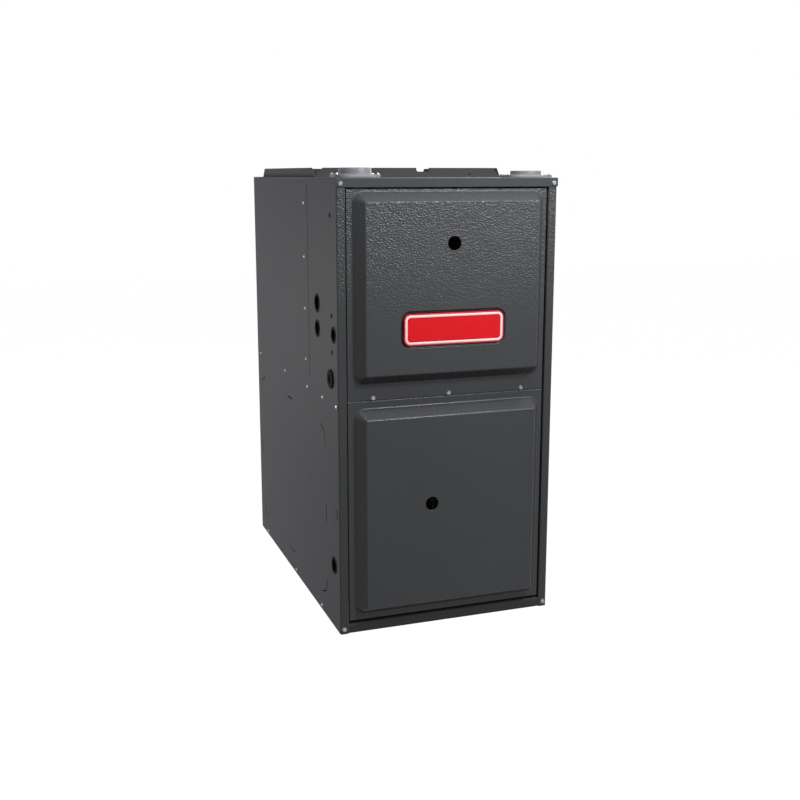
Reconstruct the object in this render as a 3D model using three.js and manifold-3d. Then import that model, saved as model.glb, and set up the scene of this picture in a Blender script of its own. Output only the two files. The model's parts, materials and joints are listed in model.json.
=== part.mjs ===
// A condensing forced air gas furnace for upflow use, in millimetres.
// +X is to the right, +Y is to the back and +Z is up. The origin is on the floor, below the middle of the cabinet.

import * as THREE from "three";
import { mergeVertices } from "three/addons/utils/BufferGeometryUtils.js";
import Module from "manifold-3d";

// ---------------------------------------------------------------- driving dimensions

// Cabinet
const CABINET_WIDTH = 444.5; // 17.5 in
const CABINET_DEPTH = 711.2; // 28 in, front frame to back
const CABINET_HEIGHT = 876.3; // 34.5 in, floor to top panel
const SHEET = 1.2; // painted cabinet steel
const FIT = 0.3; // clearance between pieces that touch
const BEND = 2.5; // outer radius of a folded edge
const STILE = 17.5; // width of the front frame at each side
const RETURN = 12; // hem turned back inside the stiles
const DOOR_HEM = 8; // hem round the doors' closed edges
const RAIL_DROP = 16.8; // the top panel's front lip
const RAIL_RISE = 18.3; // the base pan's front lip
const LIP_OVERHANG = 1; // the top lip is this much wider than the cabinet at each side
const PAN_FLANGE = 20; // upturned sides and back of the base pan
const DECK_HEIGHT = 462; // top face of the blower deck
const DECK_FLANGE = 19;
const BURNER_DEPTH = 220; // front frame to vestibule panel
const VESTIBULE_FLANGE = 24;
const RIB_WIDTH = 2.4; // pressed line down each side, just in front of the vestibule panel
const RIB_DEPTH = 0.8;
const RIB_END = 12; // clear of the deck and of the top panel

// Supply opening in the top panel
const SUPPLY_WIDTH = 406; // over the duct flanges
const SUPPLY_BACK_MARGIN = 19.6;
const DUCT_FLANGE = 25.4;
const DUCT_FLANGE_SLANT = 18; // how far the flanges' ends lean in
const RELIEF_WIDTH = 27;
const RELIEF_DEPTH = 10;
const RELIEF_X = 27.5;
const FLANGE_HOLE_X = 133;
const FLANGE_HOLE_RISE = 8;
const FLANGE_HOLE_RADIUS = 2.5;

// Return air knock-out in each side, 23 x 14 in
const KNOCKOUT_LENGTH = 583;
const KNOCKOUT_HEIGHT = 353;
const KNOCKOUT_RADIUS = 37;
const KNOCKOUT_FROM_FRONT = 93;
const KNOCKOUT_FROM_FLOOR = 44;
const LANCE_WIDTH = 2.6;
const LANCE_LENGTH = 38;

// Service holes in each side
const GAS_HOLE_RADIUS = 15;
const GAS_LINE_FROM_FRONT = 141.6;
const GAS_LINE_RISE = 173; // above the deck
const SPARE_HOLE_RADIUS = 14;
const SPARE_HOLE_DROP = 50; // below the gas hole
const WIRE_HOLE_RADIUS = 12.5;
const WIRE_HOLE_FROM_FRONT = 27.4;
const WIRE_HOLE_RISE = 125; // above the deck
const PILOT_HOLE_RADIUS = 5;
const PILOT_HOLE_FROM_FRONT = 39.4;
const PILOT_HOLE_RISES = [90, 160]; // above the deck
const DRAIN_HOLE_RADIUS = 16;
const DRAIN_FROM_FRONT = 47.9;
const DRAIN_RISE = 38; // above the deck
const TOP_HOLE_RADIUS = 3.4;
const TOP_HOLE_FROM_FRONT = 44;
const TOP_HOLE_DROP = 67.8; // below the top panel
const POWER_HOLE_RADIUS = 14;
const POWER_FROM_FRONT = 40.5;
const POWER_HEIGHT = 128.5;
const SMALL_HOLE = 6; // a hole below this radius takes fewer facets

// Doors
const DOOR_LEFT_GAP = 1;
const DOOR_RIGHT_GAP = 3.5;
const DOOR_TOP_GAP = 3.2;
const DOOR_BOTTOM_GAP = 7;
const DOOR_SEAM = 0.8;
const DOOR_RECESS = 1;
const FIELD_RELIEF = 25; // raised field above the door's border
const FIELD_BEVEL = 18; // width of the slope round it
const FIELD_RADIUS = 3;
const FIELD_FOLD = 3; // radius along the slope's two edges
const FIELD_INSET = 30.25; // from the stile to the raised field at each side
const UPPER_FIELD_TOP_MARGIN = 22.8;
const UPPER_FIELD_BOTTOM_MARGIN = 50.3;
const LOWER_FIELD_TOP_MARGIN = 32.6;
const LOWER_FIELD_BOTTOM_MARGIN = 29.2;
const SIGHT_HOLE_RADIUS = 13.5;
const UPPER_SIGHT_DROP = 77.4; // below the field's top edge
const LOWER_SIGHT_DROP = 173.6;
const LOWER_SIGHT_X = -42;
const BADGE_WIDTH = 203;
const BADGE_HEIGHT = 60;
const BADGE_RADIUS = 13;
const BADGE_THICKNESS = 2.4;
const BADGE_RIM_INSET = 2.4;
const BADGE_RIM = 4.4;
const BADGE_RIM_HEIGHT = 0.8;
const BADGE_RISE = 84; // its middle above the field's bottom edge

// Screws
const SCREW_WASHER_RADIUS = 4.6;
const SCREW_HEAD_RADIUS = 3.7; // quarter inch across its flats
const SCREW_HEAD_HEIGHT = 3.2;
const SCREW_SHANK_RADIUS = 2.1;
const SCREW_LENGTH = 11;
const SCREW_SLOT = 1.2;
const DOOR_SCREW_PITCH = 153.5;
const DOOR_SCREW_RISE = 5.5; // above the seam
const CORNER_SCREW_INSET = 7.8;
const CORNER_SCREW_END = 10;

// Venting
const PIPE_RADIUS = 30.15; // 2 in plastic pipe
const PIPE_WALL = 3.9;
const PIPE_INSET = 48.3; // cabinet side to the axis of the vent or the intake
const PIPE_FROM_FRONT = 40;
const VENT_COLLAR_WIDTH = 88;
const INTAKE_COLLAR_WIDTH = 96;
const COLLAR_DEPTH = 72;
const VENT_COLLAR_BASE = 6;
const VENT_COLLAR_HEIGHT = 25;
const INTAKE_COLLAR_BASE = 5;
const INTAKE_COLLAR_HEIGHT = 12.6;

// Burners and gas train
const BURNER_DROP = 76.3; // top panel down to the burners' axis
const BURNER_PITCH = 64;
const BURNER_COUNT = 4;
const BURNER_LENGTH = 100;
const BURNER_HEAD_RADIUS = 19;
const BURNER_THROAT_RADIUS = 11;
const BURNER_MOUTH_RADIUS = 17;
const BURNER_WALL = 1.5;
const TRAY_DROP = 28;
const TRAY_WALL_RISE = 20;
const TRAY_SIDE_MARGIN = 42;
const MANIFOLD_RADIUS = 10.7; // half inch pipe
const MANIFOLD_STANDOFF = 22; // burner mouths to the manifold's axis
const ORIFICE_RADIUS = 5;
const VALVE_INSET = 57.5; // cabinet side to the valve's axis
const VALVE_WIDTH = 70;
const VALVE_DEPTH = 58;
const VALVE_HEIGHT = 72;
const LEVER_SWING_ROOM = 12;

// Heat exchanger
const PASS_SHARE = 0.349; // pitch of the tubes' passes, of the rise from the coil to the burners
const TUBE_SHARE = 0.296; // radius of the tubes, of that pitch: a 1.75 in tube
const TUBE_WALL = 1.2;
const TUBE_BACK_MARGIN = 100.6; // from where the rear bends start to the cabinet's back
const TUBE_FRONT_MARGIN = 74.4; // from the vestibule panel to where the front bends start
const HEADER_DEPTH = 58;
const HEADER_WIDTH = 300;
const HEADER_CROWN = 12; // above the tubes
const HEADER_BEVEL = 18;
const HEADER_SHOULDER = 30;
const COIL_RISE = 43; // above the deck
const COIL_HEIGHT = 80;
const COIL_WIDTH = 330;
const COIL_PORT_MARGIN = 12;
const FIN_PITCH = 32;
const FIN_THICKNESS = 3;
const FIN_DEPTH = 34;
const LINER_THICKNESS = 10;

// Inducer and condensate
const COLLECTOR_MARGIN = 32.25; // from the cabinet's left side
const COLLECTOR_WIDTH = 260;
const COLLECTOR_RISE = 30; // above the deck
const COLLECTOR_HEIGHT = 108;
const COLLECTOR_DEPTH = 40;
const COLLECTOR_WALL = 3;
const COLLECTOR_RADIUS = 10;
const NOZZLE_INSET = 22; // the drain nozzle's axis from the collector's left end
const NOZZLE_RADIUS = 7;
const NOZZLE_LENGTH = 12;
const TAP_INSET = 18; // the first pressure tap's axis from the collector's right end
const TAP_PITCH = 22;
const TAP_RADIUS = 3.5;
const INDUCER_INSET = 120; // its axis from the collector's left end
const INDUCER_RISE = 93; // above the deck
const INDUCER_WHEEL_RADIUS = 54;
const INDUCER_DEPTH = 50;
const INDUCER_WALL = 2.5;
const INDUCER_EYE_RADIUS = 24;
const INDUCER_CLEARANCE = 8; // from the wheel to the volute
const INDUCER_BLADES = 8;
const INDUCER_OUTLET_OFFSET = 60; // outlet's axis to the wheel's axis
const INDUCER_OUTLET_RISE = 72;
const COUPLING_WALL = 4;
const COUPLING_LENGTH = 40;
const INDUCER_MOTOR_RADIUS = 42;
const INDUCER_MOTOR_LENGTH = 62;
const INDUCER_SHAFT_RADIUS = 4;
const FAN_STANDOFF = 14; // end of the shaft from the inducer's motor
const FAN_RADIUS = 31;
const FAN_HUB_RADIUS = 9;
const FAN_HUB_LENGTH = 7;
const FAN_PADDLES = 4;
const SWITCH_RADIUS = 29;
const SWITCH_DEPTH = 22;
const SWITCH_RISE = 238; // above the deck
const SWITCH_PITCH = 70;
const SWITCH_INSET = 29; // the pair's middle from the collector's right end
const SWITCH_NIPPLE = 10;
const HOSE_RADIUS = 4;
const TRAP_WIDTH = 50;
const TRAP_DEPTH = 52;
const TRAP_HEIGHT = 76;
const TRAP_CAP = 12;
const TRAP_STANDOFF = 80; // in front of the collector
const DRAIN_TUBE_RADIUS = 8;

// Blower
const WHEEL_RADIUS = 127; // 10 in wheel
const WHEEL_WIDTH = 203; // 8 in
const BLADE_COUNT = 22;
const BLADE_CHORD = 20;
const BLADE_THICKNESS = 1.4;
const RING_WIDTH = 4;
const HUB_RADIUS = 19;
const HUB_LENGTH = 22; // on the shaft's side; half as long on the motor's
const SHAFT_RADIUS = 6.35;
const HOUSING_WIDTH = 240;
const HOUSING_CUTOFF = 10; // least gap, wheel to scroll
const HOUSING_GROWTH = 76; // how far the scroll opens in its turn
const HOUSING_INLET_RADIUS = 112;
const BLOWER_Y = 40;
const BLOWER_DROP = 247; // deck down to the wheel's axis
const HOUSING_FLANGE = 14;
const BLOWER_MOTOR_RADIUS = 71;
const BLOWER_MOTOR_LENGTH = 132;
const BLOWER_MOTOR_START = 20; // from the centre plate
const BLOWER_MOTOR_BEVEL = 14;
const MOTOR_BELL = 8; // wall of the motor's two ends
const STATOR_BORE = 40;
const BAND_WIDTH = 20;
const ARM_COUNT = 3;
const ARM_WIDTH = 16;

// Controls
const CONTROL_MARGIN = 26.25; // from the cabinet's left side
const CONTROL_WIDTH = 178;
const CONTROL_FROM_FRONT = 62;
const CONTROL_BOTTOM = 172;
const CONTROL_EDGE = 18;
const BOARD_WIDTH = 150;
const BOARD_HEIGHT = 128;
const BOARD_RISE = 18; // above the bracket's lower edge
const BOARD_STANDOFF = 8;
const BOARD_THICKNESS = 1.6;
const RELAY_COUNT = 4;
const RELAY_SIZE = 20;
const RELAY_HEIGHT = 14;
const TRANSFORMER_SIZE = 52;
const DOOR_SWITCH_X = 120;
const DOOR_SWITCH_WIDTH = 26;
const DOOR_SWITCH_HEIGHT = 24;
const PLUNGER_RADIUS = 3;
const PLUNGER_DROP = 8.5; // below the deck
const BUTTON_RADIUS = 3;
const JUNCTION_SIZE = 60;

// ---------------------------------------------------------------- derived places

const halfWidth = CABINET_WIDTH / 2;
const front = -CABINET_DEPTH / 2;
const back = CABINET_DEPTH / 2;
const wrapTop = CABINET_HEIGHT - SHEET - FIT;
const innerX = halfWidth - SHEET - FIT; // outside of what stands inside the wrap
const innerBack = back - SHEET - FIT;
const behindFrame = front + SHEET + FIT; // front of what stands behind the stiles
const openingX = halfWidth - STILE; // half the clear width between the stiles
const deckUnder = DECK_HEIGHT - SHEET;
const vestibuleFront = front + BURNER_DEPTH;
const vestibuleBack = vestibuleFront + SHEET;
const burnerHeight = CABINET_HEIGHT - BURNER_DROP;
const coilBottom = DECK_HEIGHT + COIL_RISE;
const passPitch = (burnerHeight - coilBottom - COIL_HEIGHT) * PASS_SHARE;
const tubeRadius = passPitch * TUBE_SHARE;
const lowPass = burnerHeight - 2 * passPitch;
const collectorLeft = -halfWidth + COLLECTOR_MARGIN;
const collectorRight = collectorLeft + COLLECTOR_WIDTH;
const doorFace = front + DOOR_RECESS;

// ---------------------------------------------------------------- solids

const wasm = await Module();
wasm.setup();

const X = new THREE.Vector3(1, 0, 0);
const Y = new THREE.Vector3(0, 1, 0);
const Z = new THREE.Vector3(0, 0, 1);

// The closed solid that a geometry's faces bound.
function solidOf(geometry) {
  const bare = geometry.clone();
  bare.deleteAttribute("normal");
  bare.deleteAttribute("uv");
  const merged = mergeVertices(bare);
  const corners = [];
  for (let i = 0; i < merged.index.count; i += 3) {
    const [a, b, c] = [0, 1, 2].map((k) => merged.index.getX(i + k));
    if (a !== b && b !== c && c !== a) corners.push(a, b, c);
  }
  const vertProperties = merged.attributes.position.array;
  const triVerts = new Uint32Array(corners);
  return new wasm.Manifold(new wasm.Mesh({ numProp: 3, vertProperties, triVerts }));
}

function geometryOf(solid) {
  const { vertProperties, triVerts } = solid.getMesh();
  const geometry = new THREE.BufferGeometry();
  geometry.setAttribute("position", new THREE.BufferAttribute(new Float32Array(vertProperties), 3));
  geometry.setIndex(new THREE.BufferAttribute(new Uint32Array(triVerts), 1));
  geometry.computeVertexNormals();
  return geometry;
}

const join = (...solids) => solids.reduce((all, next) => all.add(next));
const cut = (body, ...tools) => tools.reduce((left, tool) => left.subtract(tool), body);

// A box given by its range along each axis.
function block([x0, x1], [y0, y1], [z0, z1]) {
  const geometry = new THREE.BoxGeometry(x1 - x0, y1 - y0, z1 - z0);
  geometry.translate((x0 + x1) / 2, (y0 + y1) / 2, (z0 + z1) / 2);
  return solidOf(geometry);
}

// Turns a shape drawn in x and y so that it is pushed along the named axis:
// its points then read (y, z) for "x", (x, z) for "y" and (x, y) for "z".
function turnTo(geometry, axis, from, to) {
  if (axis === "x") geometry.applyMatrix4(new THREE.Matrix4().makeBasis(Y, Z, X)).translate(from, 0, 0);
  if (axis === "y") {
    geometry.applyMatrix4(new THREE.Matrix4().makeBasis(X, Z, Y.clone().negate()));
    geometry.translate(0, to, 0);
  }
  if (axis === "z") geometry.translate(0, 0, from);
  return geometry;
}

// An outline, with any holes, pushed from one place to another along an axis.
function prism(axis, [from, to], points, holes = []) {
  const shape = outlineOf(points);
  shape.holes.push(...holes.map(outlineOf));
  const geometry = new THREE.ExtrudeGeometry(shape, { depth: to - from, bevelEnabled: false });
  return solidOf(turnTo(geometry, axis, from, to));
}

const outlineOf = (points) => new THREE.Shape(points.map(([u, v]) => new THREE.Vector2(u, v)));

// The corners of a regular polygon.
function circle([u, v], radius, sides = 12) {
  return Array.from({ length: sides }, (_, i) => {
    const turn = (2 * Math.PI * (i + 0.5)) / sides;
    return [u + radius * Math.cos(turn), v + radius * Math.sin(turn)];
  });
}

const rod = (axis, range, centre, radius, sides = 12) => prism(axis, range, circle(centre, radius, sides));

// A profile of [radius, height] points, turned about an axis through the centre.
function turned(axis, [u, v], profile, sides = 12) {
  const points = profile.map(([radius, height]) => new THREE.Vector2(radius, height));
  const geometry = new THREE.LatheGeometry([...points, points[0]], sides);
  if (axis === "x") geometry.applyMatrix4(new THREE.Matrix4().makeBasis(Y, X, Z.clone().negate())).translate(0, u, v);
  if (axis === "y") geometry.translate(u, 0, v);
  if (axis === "z") geometry.applyMatrix4(new THREE.Matrix4().makeBasis(X, Z, Y.clone().negate())).translate(u, v, 0);
  return solidOf(geometry);
}

// The points of a rounded corner at b, on the way from a to c.
function roundCorner(a, b, c, radius, steps) {
  const [p, q, r] = [a, b, c].map(([u, v]) => new THREE.Vector2(u, v));
  const into = p.sub(q).normalize();
  const out = r.sub(q).normalize();
  const half = Math.acos(THREE.MathUtils.clamp(into.dot(out), -1, 1)) / 2;
  if (radius < 0.05 || half > 1.55) return [b];
  const middle = into.clone().add(out).normalize().multiplyScalar(radius / Math.sin(half)).add(q);
  const start = into.clone().multiplyScalar(radius / Math.tan(half)).add(q).sub(middle);
  const sweep = (Math.PI - 2 * half) * Math.sign(into.cross(out));
  return Array.from({ length: steps + 1 }, (_, i) => {
    const angle = start.angle() - (sweep * i) / steps;
    return [middle.x + radius * Math.cos(angle), middle.y + radius * Math.sin(angle)];
  });
}

// An open line of points with its inner corners rounded, radius by the way that each one turns.
function roundLine(points, leftRadius, rightRadius, steps) {
  return points.flatMap((point, i) => {
    if (i === 0 || i === points.length - 1) return [point];
    const [before, after] = [points[i - 1], points[i + 1]];
    const turn = (point[0] - before[0]) * (after[1] - point[1]) - (point[1] - before[1]) * (after[0] - point[0]);
    return roundCorner(before, point, after, turn > 0 ? leftRadius : rightRadius, steps);
  });
}

// The same line moved to its left by a distance, its corners kept sharp.
function offsetLine(points, distance) {
  const normals = points.slice(1).map(([u, v], i) => {
    const along = new THREE.Vector2(u - points[i][0], v - points[i][1]).normalize();
    return new THREE.Vector2(-along.y, along.x);
  });
  return points.map(([u, v], i) => {
    const [a, b] = [normals[Math.max(i - 1, 0)], normals[Math.min(i, normals.length - 1)]];
    const mitre = distance / (1 + a.dot(b));
    return [u + (a.x + b.x) * mitre, v + (a.y + b.y) * mitre];
  });
}

// A closed outline, drawn against the clock, moved inward.
function insetOutline(points, distance) {
  return offsetLine([points.at(-1), ...points, points[0]], distance).slice(1, -1);
}

// The edge view of a folded sheet: its one face follows the points, and its thickness lies to their left.
function folded(points, thickness = SHEET, radius = BEND, steps = 2) {
  const inner = Math.max(radius - thickness, 0);
  const face = roundLine(points, radius, inner, steps);
  const other = roundLine(offsetLine(points, thickness), inner, radius, steps);
  return [...face, ...other.reverse()];
}

function roundedRectangle([u0, u1], [v0, v1], radius, steps = 3) {
  const corners = [[u0, v0], [u1, v0], [u1, v1], [u0, v1]];
  return corners.flatMap((corner, i) =>
    roundCorner(corners[(i + 3) % 4], corner, corners[(i + 1) % 4], radius, steps),
  );
}

// A skin through a row of outlines with equal point counts, each [y, points], running from back to front.
function loft(sections) {
  const count = sections[0][1].length;
  const position = sections.flatMap(([y, points]) => points.flatMap(([x, z]) => [x, y, z]));
  const index = [];
  for (let row = 0; row + 1 < sections.length; row++) {
    for (let i = 0; i < count; i++) {
      const [a, b] = [row * count + i, row * count + ((i + 1) % count)];
      index.push(a, b, b + count, a, b + count, a + count);
    }
  }
  const last = (sections.length - 1) * count;
  const cap = (points) => THREE.ShapeUtils.triangulateShape(points.map(([u, v]) => new THREE.Vector2(u, v)), []);
  for (const [a, b, c] of cap(sections[0][1])) index.push(a, c, b);
  for (const [a, b, c] of cap(sections.at(-1)[1])) index.push(last + a, last + b, last + c);
  const geometry = new THREE.BufferGeometry();
  geometry.setAttribute("position", new THREE.Float32BufferAttribute(position, 3));
  geometry.setIndex(index);
  return solidOf(geometry);
}

// A pipe's centre line: straight runs joined by round bends, stepped so that only the bends take extra rings.
class PipeRoute extends THREE.Curve {
  constructor(corners, bendRadius, bendSteps = 4) {
    super();
    const points = corners.map((corner) => new THREE.Vector3(...corner));
    const rings = points.flatMap((corner, i) => {
      if (i === 0) return [{ point: corner, tangent: points[1].clone().sub(corner).normalize() }];
      const into = corner.clone().sub(points[i - 1]).normalize();
      if (i === points.length - 1) return [{ point: corner, tangent: into }];
      const out = points[i + 1].clone().sub(corner).normalize();
      return PipeRoute.bend(corner, into, out, bendRadius, bendSteps);
    });
    this.rings = rings.filter(({ point }, i) => i === 0 || point.distanceTo(rings[i - 1].point) > FIT);
  }

  static bend(corner, into, out, radius, steps) {
    const turn = into.angleTo(out);
    const start = corner.clone().addScaledVector(into, -radius * Math.tan(turn / 2));
    const side = out.clone().addScaledVector(into, -out.dot(into)).normalize();
    return Array.from({ length: steps + 1 }, (_, i) => {
      const angle = (turn * i) / steps;
      const point = start.clone().addScaledVector(into, radius * Math.sin(angle));
      point.addScaledVector(side, radius * (1 - Math.cos(angle)));
      const tangent = into.clone().multiplyScalar(Math.cos(angle)).addScaledVector(side, Math.sin(angle));
      return { point, tangent };
    });
  }

  get steps() {
    return this.rings.length - 1;
  }

  getPointAt(share) {
    return this.rings[Math.round(share * this.steps)].point.clone();
  }

  getTangentAt(share) {
    return this.rings[Math.round(share * this.steps)].tangent.clone();
  }
}

function pipe(corners, bendRadius, radius, bore, sides = 8, bendSteps = 2) {
  const route = new PipeRoute(corners, bendRadius, bendSteps);
  const shape = outlineOf(circle([0, 0], radius, sides));
  if (bore > 0) shape.holes.push(outlineOf(circle([0, 0], bore, sides)));
  return solidOf(new THREE.ExtrudeGeometry(shape, { steps: route.steps, extrudePath: route }));
}

// ---------------------------------------------------------------- finishes

const finish = (color, roughness, metalness) => new THREE.MeshStandardMaterial({ color, roughness, metalness });
const finishes = {
  paint: finish(0x4b4c4f, 0.5, 0.3),
  embossed: finish(0x414244, 0.45, 0.3),
  galvanised: finish(0x9ea2a4, 0.45, 0.85),
  aluminised: finish(0x8b8c8a, 0.5, 0.85),
  stainless: finish(0xa9abad, 0.3, 0.95),
  zinc: finish(0xd0d3d6, 0.25, 0.95),
  brass: finish(0xb08d4a, 0.35, 0.9),
  pipe: finish(0xa6a7a9, 0.45, 0),
  rubber: finish(0x1c1c1d, 0.8, 0),
  blackPlastic: finish(0x242426, 0.5, 0),
  greyPlastic: finish(0x8c8f92, 0.5, 0),
  ceramic: finish(0xd8d4c8, 0.6, 0),
  red: finish(0xd2202a, 0.35, 0),
  motor: finish(0x2c2d30, 0.45, 0.5),
  board: finish(0x1d5b3a, 0.5, 0),
  foil: finish(0xc3c6c8, 0.3, 0.9),
  ivory: finish(0xe4dfcf, 0.5, 0),
};

function piece(name, solid, material, place = [0, 0, 0]) {
  const mesh = new THREE.Mesh(geometryOf(solid), material);
  mesh.name = name;
  mesh.position.set(...place);
  return mesh;
}

function assembly(place, ...members) {
  const group = new THREE.Group();
  group.position.set(...place);
  group.add(...members);
  return group;
}

// ---------------------------------------------------------------- cabinet

const sideHoles = [
  [GAS_LINE_FROM_FRONT, DECK_HEIGHT + GAS_LINE_RISE, GAS_HOLE_RADIUS],
  [GAS_LINE_FROM_FRONT, DECK_HEIGHT + GAS_LINE_RISE - SPARE_HOLE_DROP, SPARE_HOLE_RADIUS],
  [WIRE_HOLE_FROM_FRONT, DECK_HEIGHT + WIRE_HOLE_RISE, WIRE_HOLE_RADIUS],
  ...PILOT_HOLE_RISES.map((rise) => [PILOT_HOLE_FROM_FRONT, DECK_HEIGHT + rise, PILOT_HOLE_RADIUS]),
  [DRAIN_FROM_FRONT, DECK_HEIGHT + DRAIN_RISE, DRAIN_HOLE_RADIUS],
  [TOP_HOLE_FROM_FRONT, CABINET_HEIGHT - TOP_HOLE_DROP, TOP_HOLE_RADIUS],
  [POWER_FROM_FRONT, POWER_HEIGHT, POWER_HOLE_RADIUS],
];

// The lanced slits that mark the return air knock-out: one round each corner and one at the middle of each side.
function knockoutSlits() {
  const [y0, z0] = [front + KNOCKOUT_FROM_FRONT, KNOCKOUT_FROM_FLOOR];
  const [y1, z1] = [y0 + KNOCKOUT_LENGTH, z0 + KNOCKOUT_HEIGHT];
  const corners = [[y0, z0, 1, 1], [y1, z0, -1, 1], [y1, z1, -1, -1], [y0, z1, 1, -1]];
  const slits = corners.map(([y, z, u, v]) => {
    const line = [[y + u * LANCE_LENGTH, z], [y, z], [y, z + v * LANCE_LENGTH]];
    return folded(line, LANCE_WIDTH, KNOCKOUT_RADIUS);
  });
  const [middleY, middleZ, half] = [(y0 + y1) / 2, (z0 + z1) / 2, LANCE_LENGTH / 2];
  const upright = (y) => [[y, middleZ - half], [y + LANCE_WIDTH, middleZ - half],
    [y + LANCE_WIDTH, middleZ + half], [y, middleZ + half]];
  const level = (z) => [[middleY - half, z], [middleY + half, z],
    [middleY + half, z + LANCE_WIDTH], [middleY - half, z + LANCE_WIDTH]];
  return [...slits, upright(y0), upright(y1), level(z0), level(z1)];
}

// Left side, back and right side in one sheet, with the stiles folded in at the front and hemmed back.
function cabinetWrap() {
  const sheet = prism("z", [0, wrapTop], folded([
    [openingX, front + RETURN], [openingX, front], [halfWidth, front], [halfWidth, back],
    [-halfWidth, back], [-halfWidth, front], [-openingX, front], [-openingX, front + RETURN],
  ]));
  const through = [-halfWidth - 5, halfWidth + 5];
  const holes = sideHoles.map(([depth, height, radius]) =>
    rod("x", through, [front + depth, height], radius, radius < SMALL_HOLE ? 8 : 12));
  const slits = knockoutSlits().map((outline) => prism("x", through, outline));
  const clearX = halfWidth - SHEET - BEND;
  const hemNotch = block([-clearX, clearX], [front + SHEET, front + RETURN + 1], [-1, RAIL_RISE + 2]);
  const ribY = front + BURNER_DEPTH - VESTIBULE_FLANGE / 2;
  const ribs = [-1, 1].map((side) => block(
    [side * halfWidth - RIB_DEPTH, side * halfWidth + RIB_DEPTH],
    [ribY - RIB_WIDTH / 2, ribY + RIB_WIDTH / 2],
    [DECK_HEIGHT + RIB_END, CABINET_HEIGHT - RIB_END],
  ));
  const screwHoles = ["top", "bottom"].flatMap(cornerScrewHoles);
  return cut(sheet, hemNotch, ...holes, ...slits, ...ribs, ...screwHoles);
}

// A duct flange: a wall on the edge of the supply opening, its two ends slanted in.
function ductFlange(axis, [from, to], across, foot) {
  const rise = CABINET_HEIGHT + DUCT_FLANGE;
  const outline = [[from, foot], [to, foot], [to - DUCT_FLANGE_SLANT, rise], [from + DUCT_FLANGE_SLANT, rise]];
  return prism(axis, across, outline);
}

const supply = {
  x: SUPPLY_WIDTH / 2,
  front: vestibuleFront + SHEET,
  back: back - SUPPLY_BACK_MARGIN,
};
const vent = [-halfWidth + PIPE_INSET, front + PIPE_FROM_FRONT];
const intake = [halfWidth - PIPE_INSET, front + PIPE_FROM_FRONT];

function topPanel() {
  const under = CABINET_HEIGHT - SHEET;
  const lip = front - FIT - SHEET;
  const edge = folded([[back, CABINET_HEIGHT], [lip, CABINET_HEIGHT], [lip, CABINET_HEIGHT - RAIL_DROP]], SHEET, 2);
  const lipX = halfWidth + LIP_OVERHANG;
  const trims = [[-lipX - 1, -halfWidth], [halfWidth, lipX + 1]].map((range) =>
    block(range, [front, back + 1], [under - 1, CABINET_HEIGHT + 1]));
  const plate = cut(prism("x", [-lipX, lipX], edge), ...trims);
  const hole = block([-supply.x + SHEET, supply.x - SHEET], [supply.front + SHEET, supply.back - SHEET],
    [under - 1, CABINET_HEIGHT + 1]);
  const walls = [
    ductFlange("y", [-supply.x, supply.x], [supply.front, supply.front + SHEET], under),
    ductFlange("y", [-supply.x, supply.x], [supply.back - SHEET, supply.back], under),
    ductFlange("x", [supply.front, supply.back], [-supply.x, -supply.x + SHEET], under),
    ductFlange("x", [supply.front, supply.back], [supply.x - SHEET, supply.x], under),
  ];
  const relief = block([RELIEF_X - RELIEF_WIDTH / 2, RELIEF_X + RELIEF_WIDTH / 2],
    [supply.front - 1, supply.front + SHEET + 1],
    [CABINET_HEIGHT + DUCT_FLANGE - RELIEF_DEPTH, CABINET_HEIGHT + DUCT_FLANGE + 1]);
  const bores = [vent, intake].map((centre) =>
    rod("z", [under - 1, CABINET_HEIGHT + 1], centre, PIPE_RADIUS + FIT, 12));
  const flangeHole = rod("y", [supply.front - 1, supply.front + SHEET + 1],
    [FLANGE_HOLE_X, CABINET_HEIGHT + FLANGE_HOLE_RISE], FLANGE_HOLE_RADIUS, 8);
  return cut(join(cut(plate, hole), ...walls), relief, flangeHole, ...bores, ...cornerScrewHoles("top"));
}

function basePan() {
  const side = prism("y", [behindFrame + SHEET, innerBack - BEND], folded([
    [-innerX, PAN_FLANGE], [-innerX, 0], [innerX, 0], [innerX, PAN_FLANGE],
  ]));
  const ends = prism("x", [-innerX + BEND, innerX - BEND], folded([
    [behindFrame + RETURN, RAIL_RISE], [behindFrame, RAIL_RISE], [behindFrame, 0], [innerBack, 0],
    [innerBack, PAN_FLANGE],
  ]));
  return cut(join(side, ends), ...cornerScrewHoles("bottom"));
}

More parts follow.
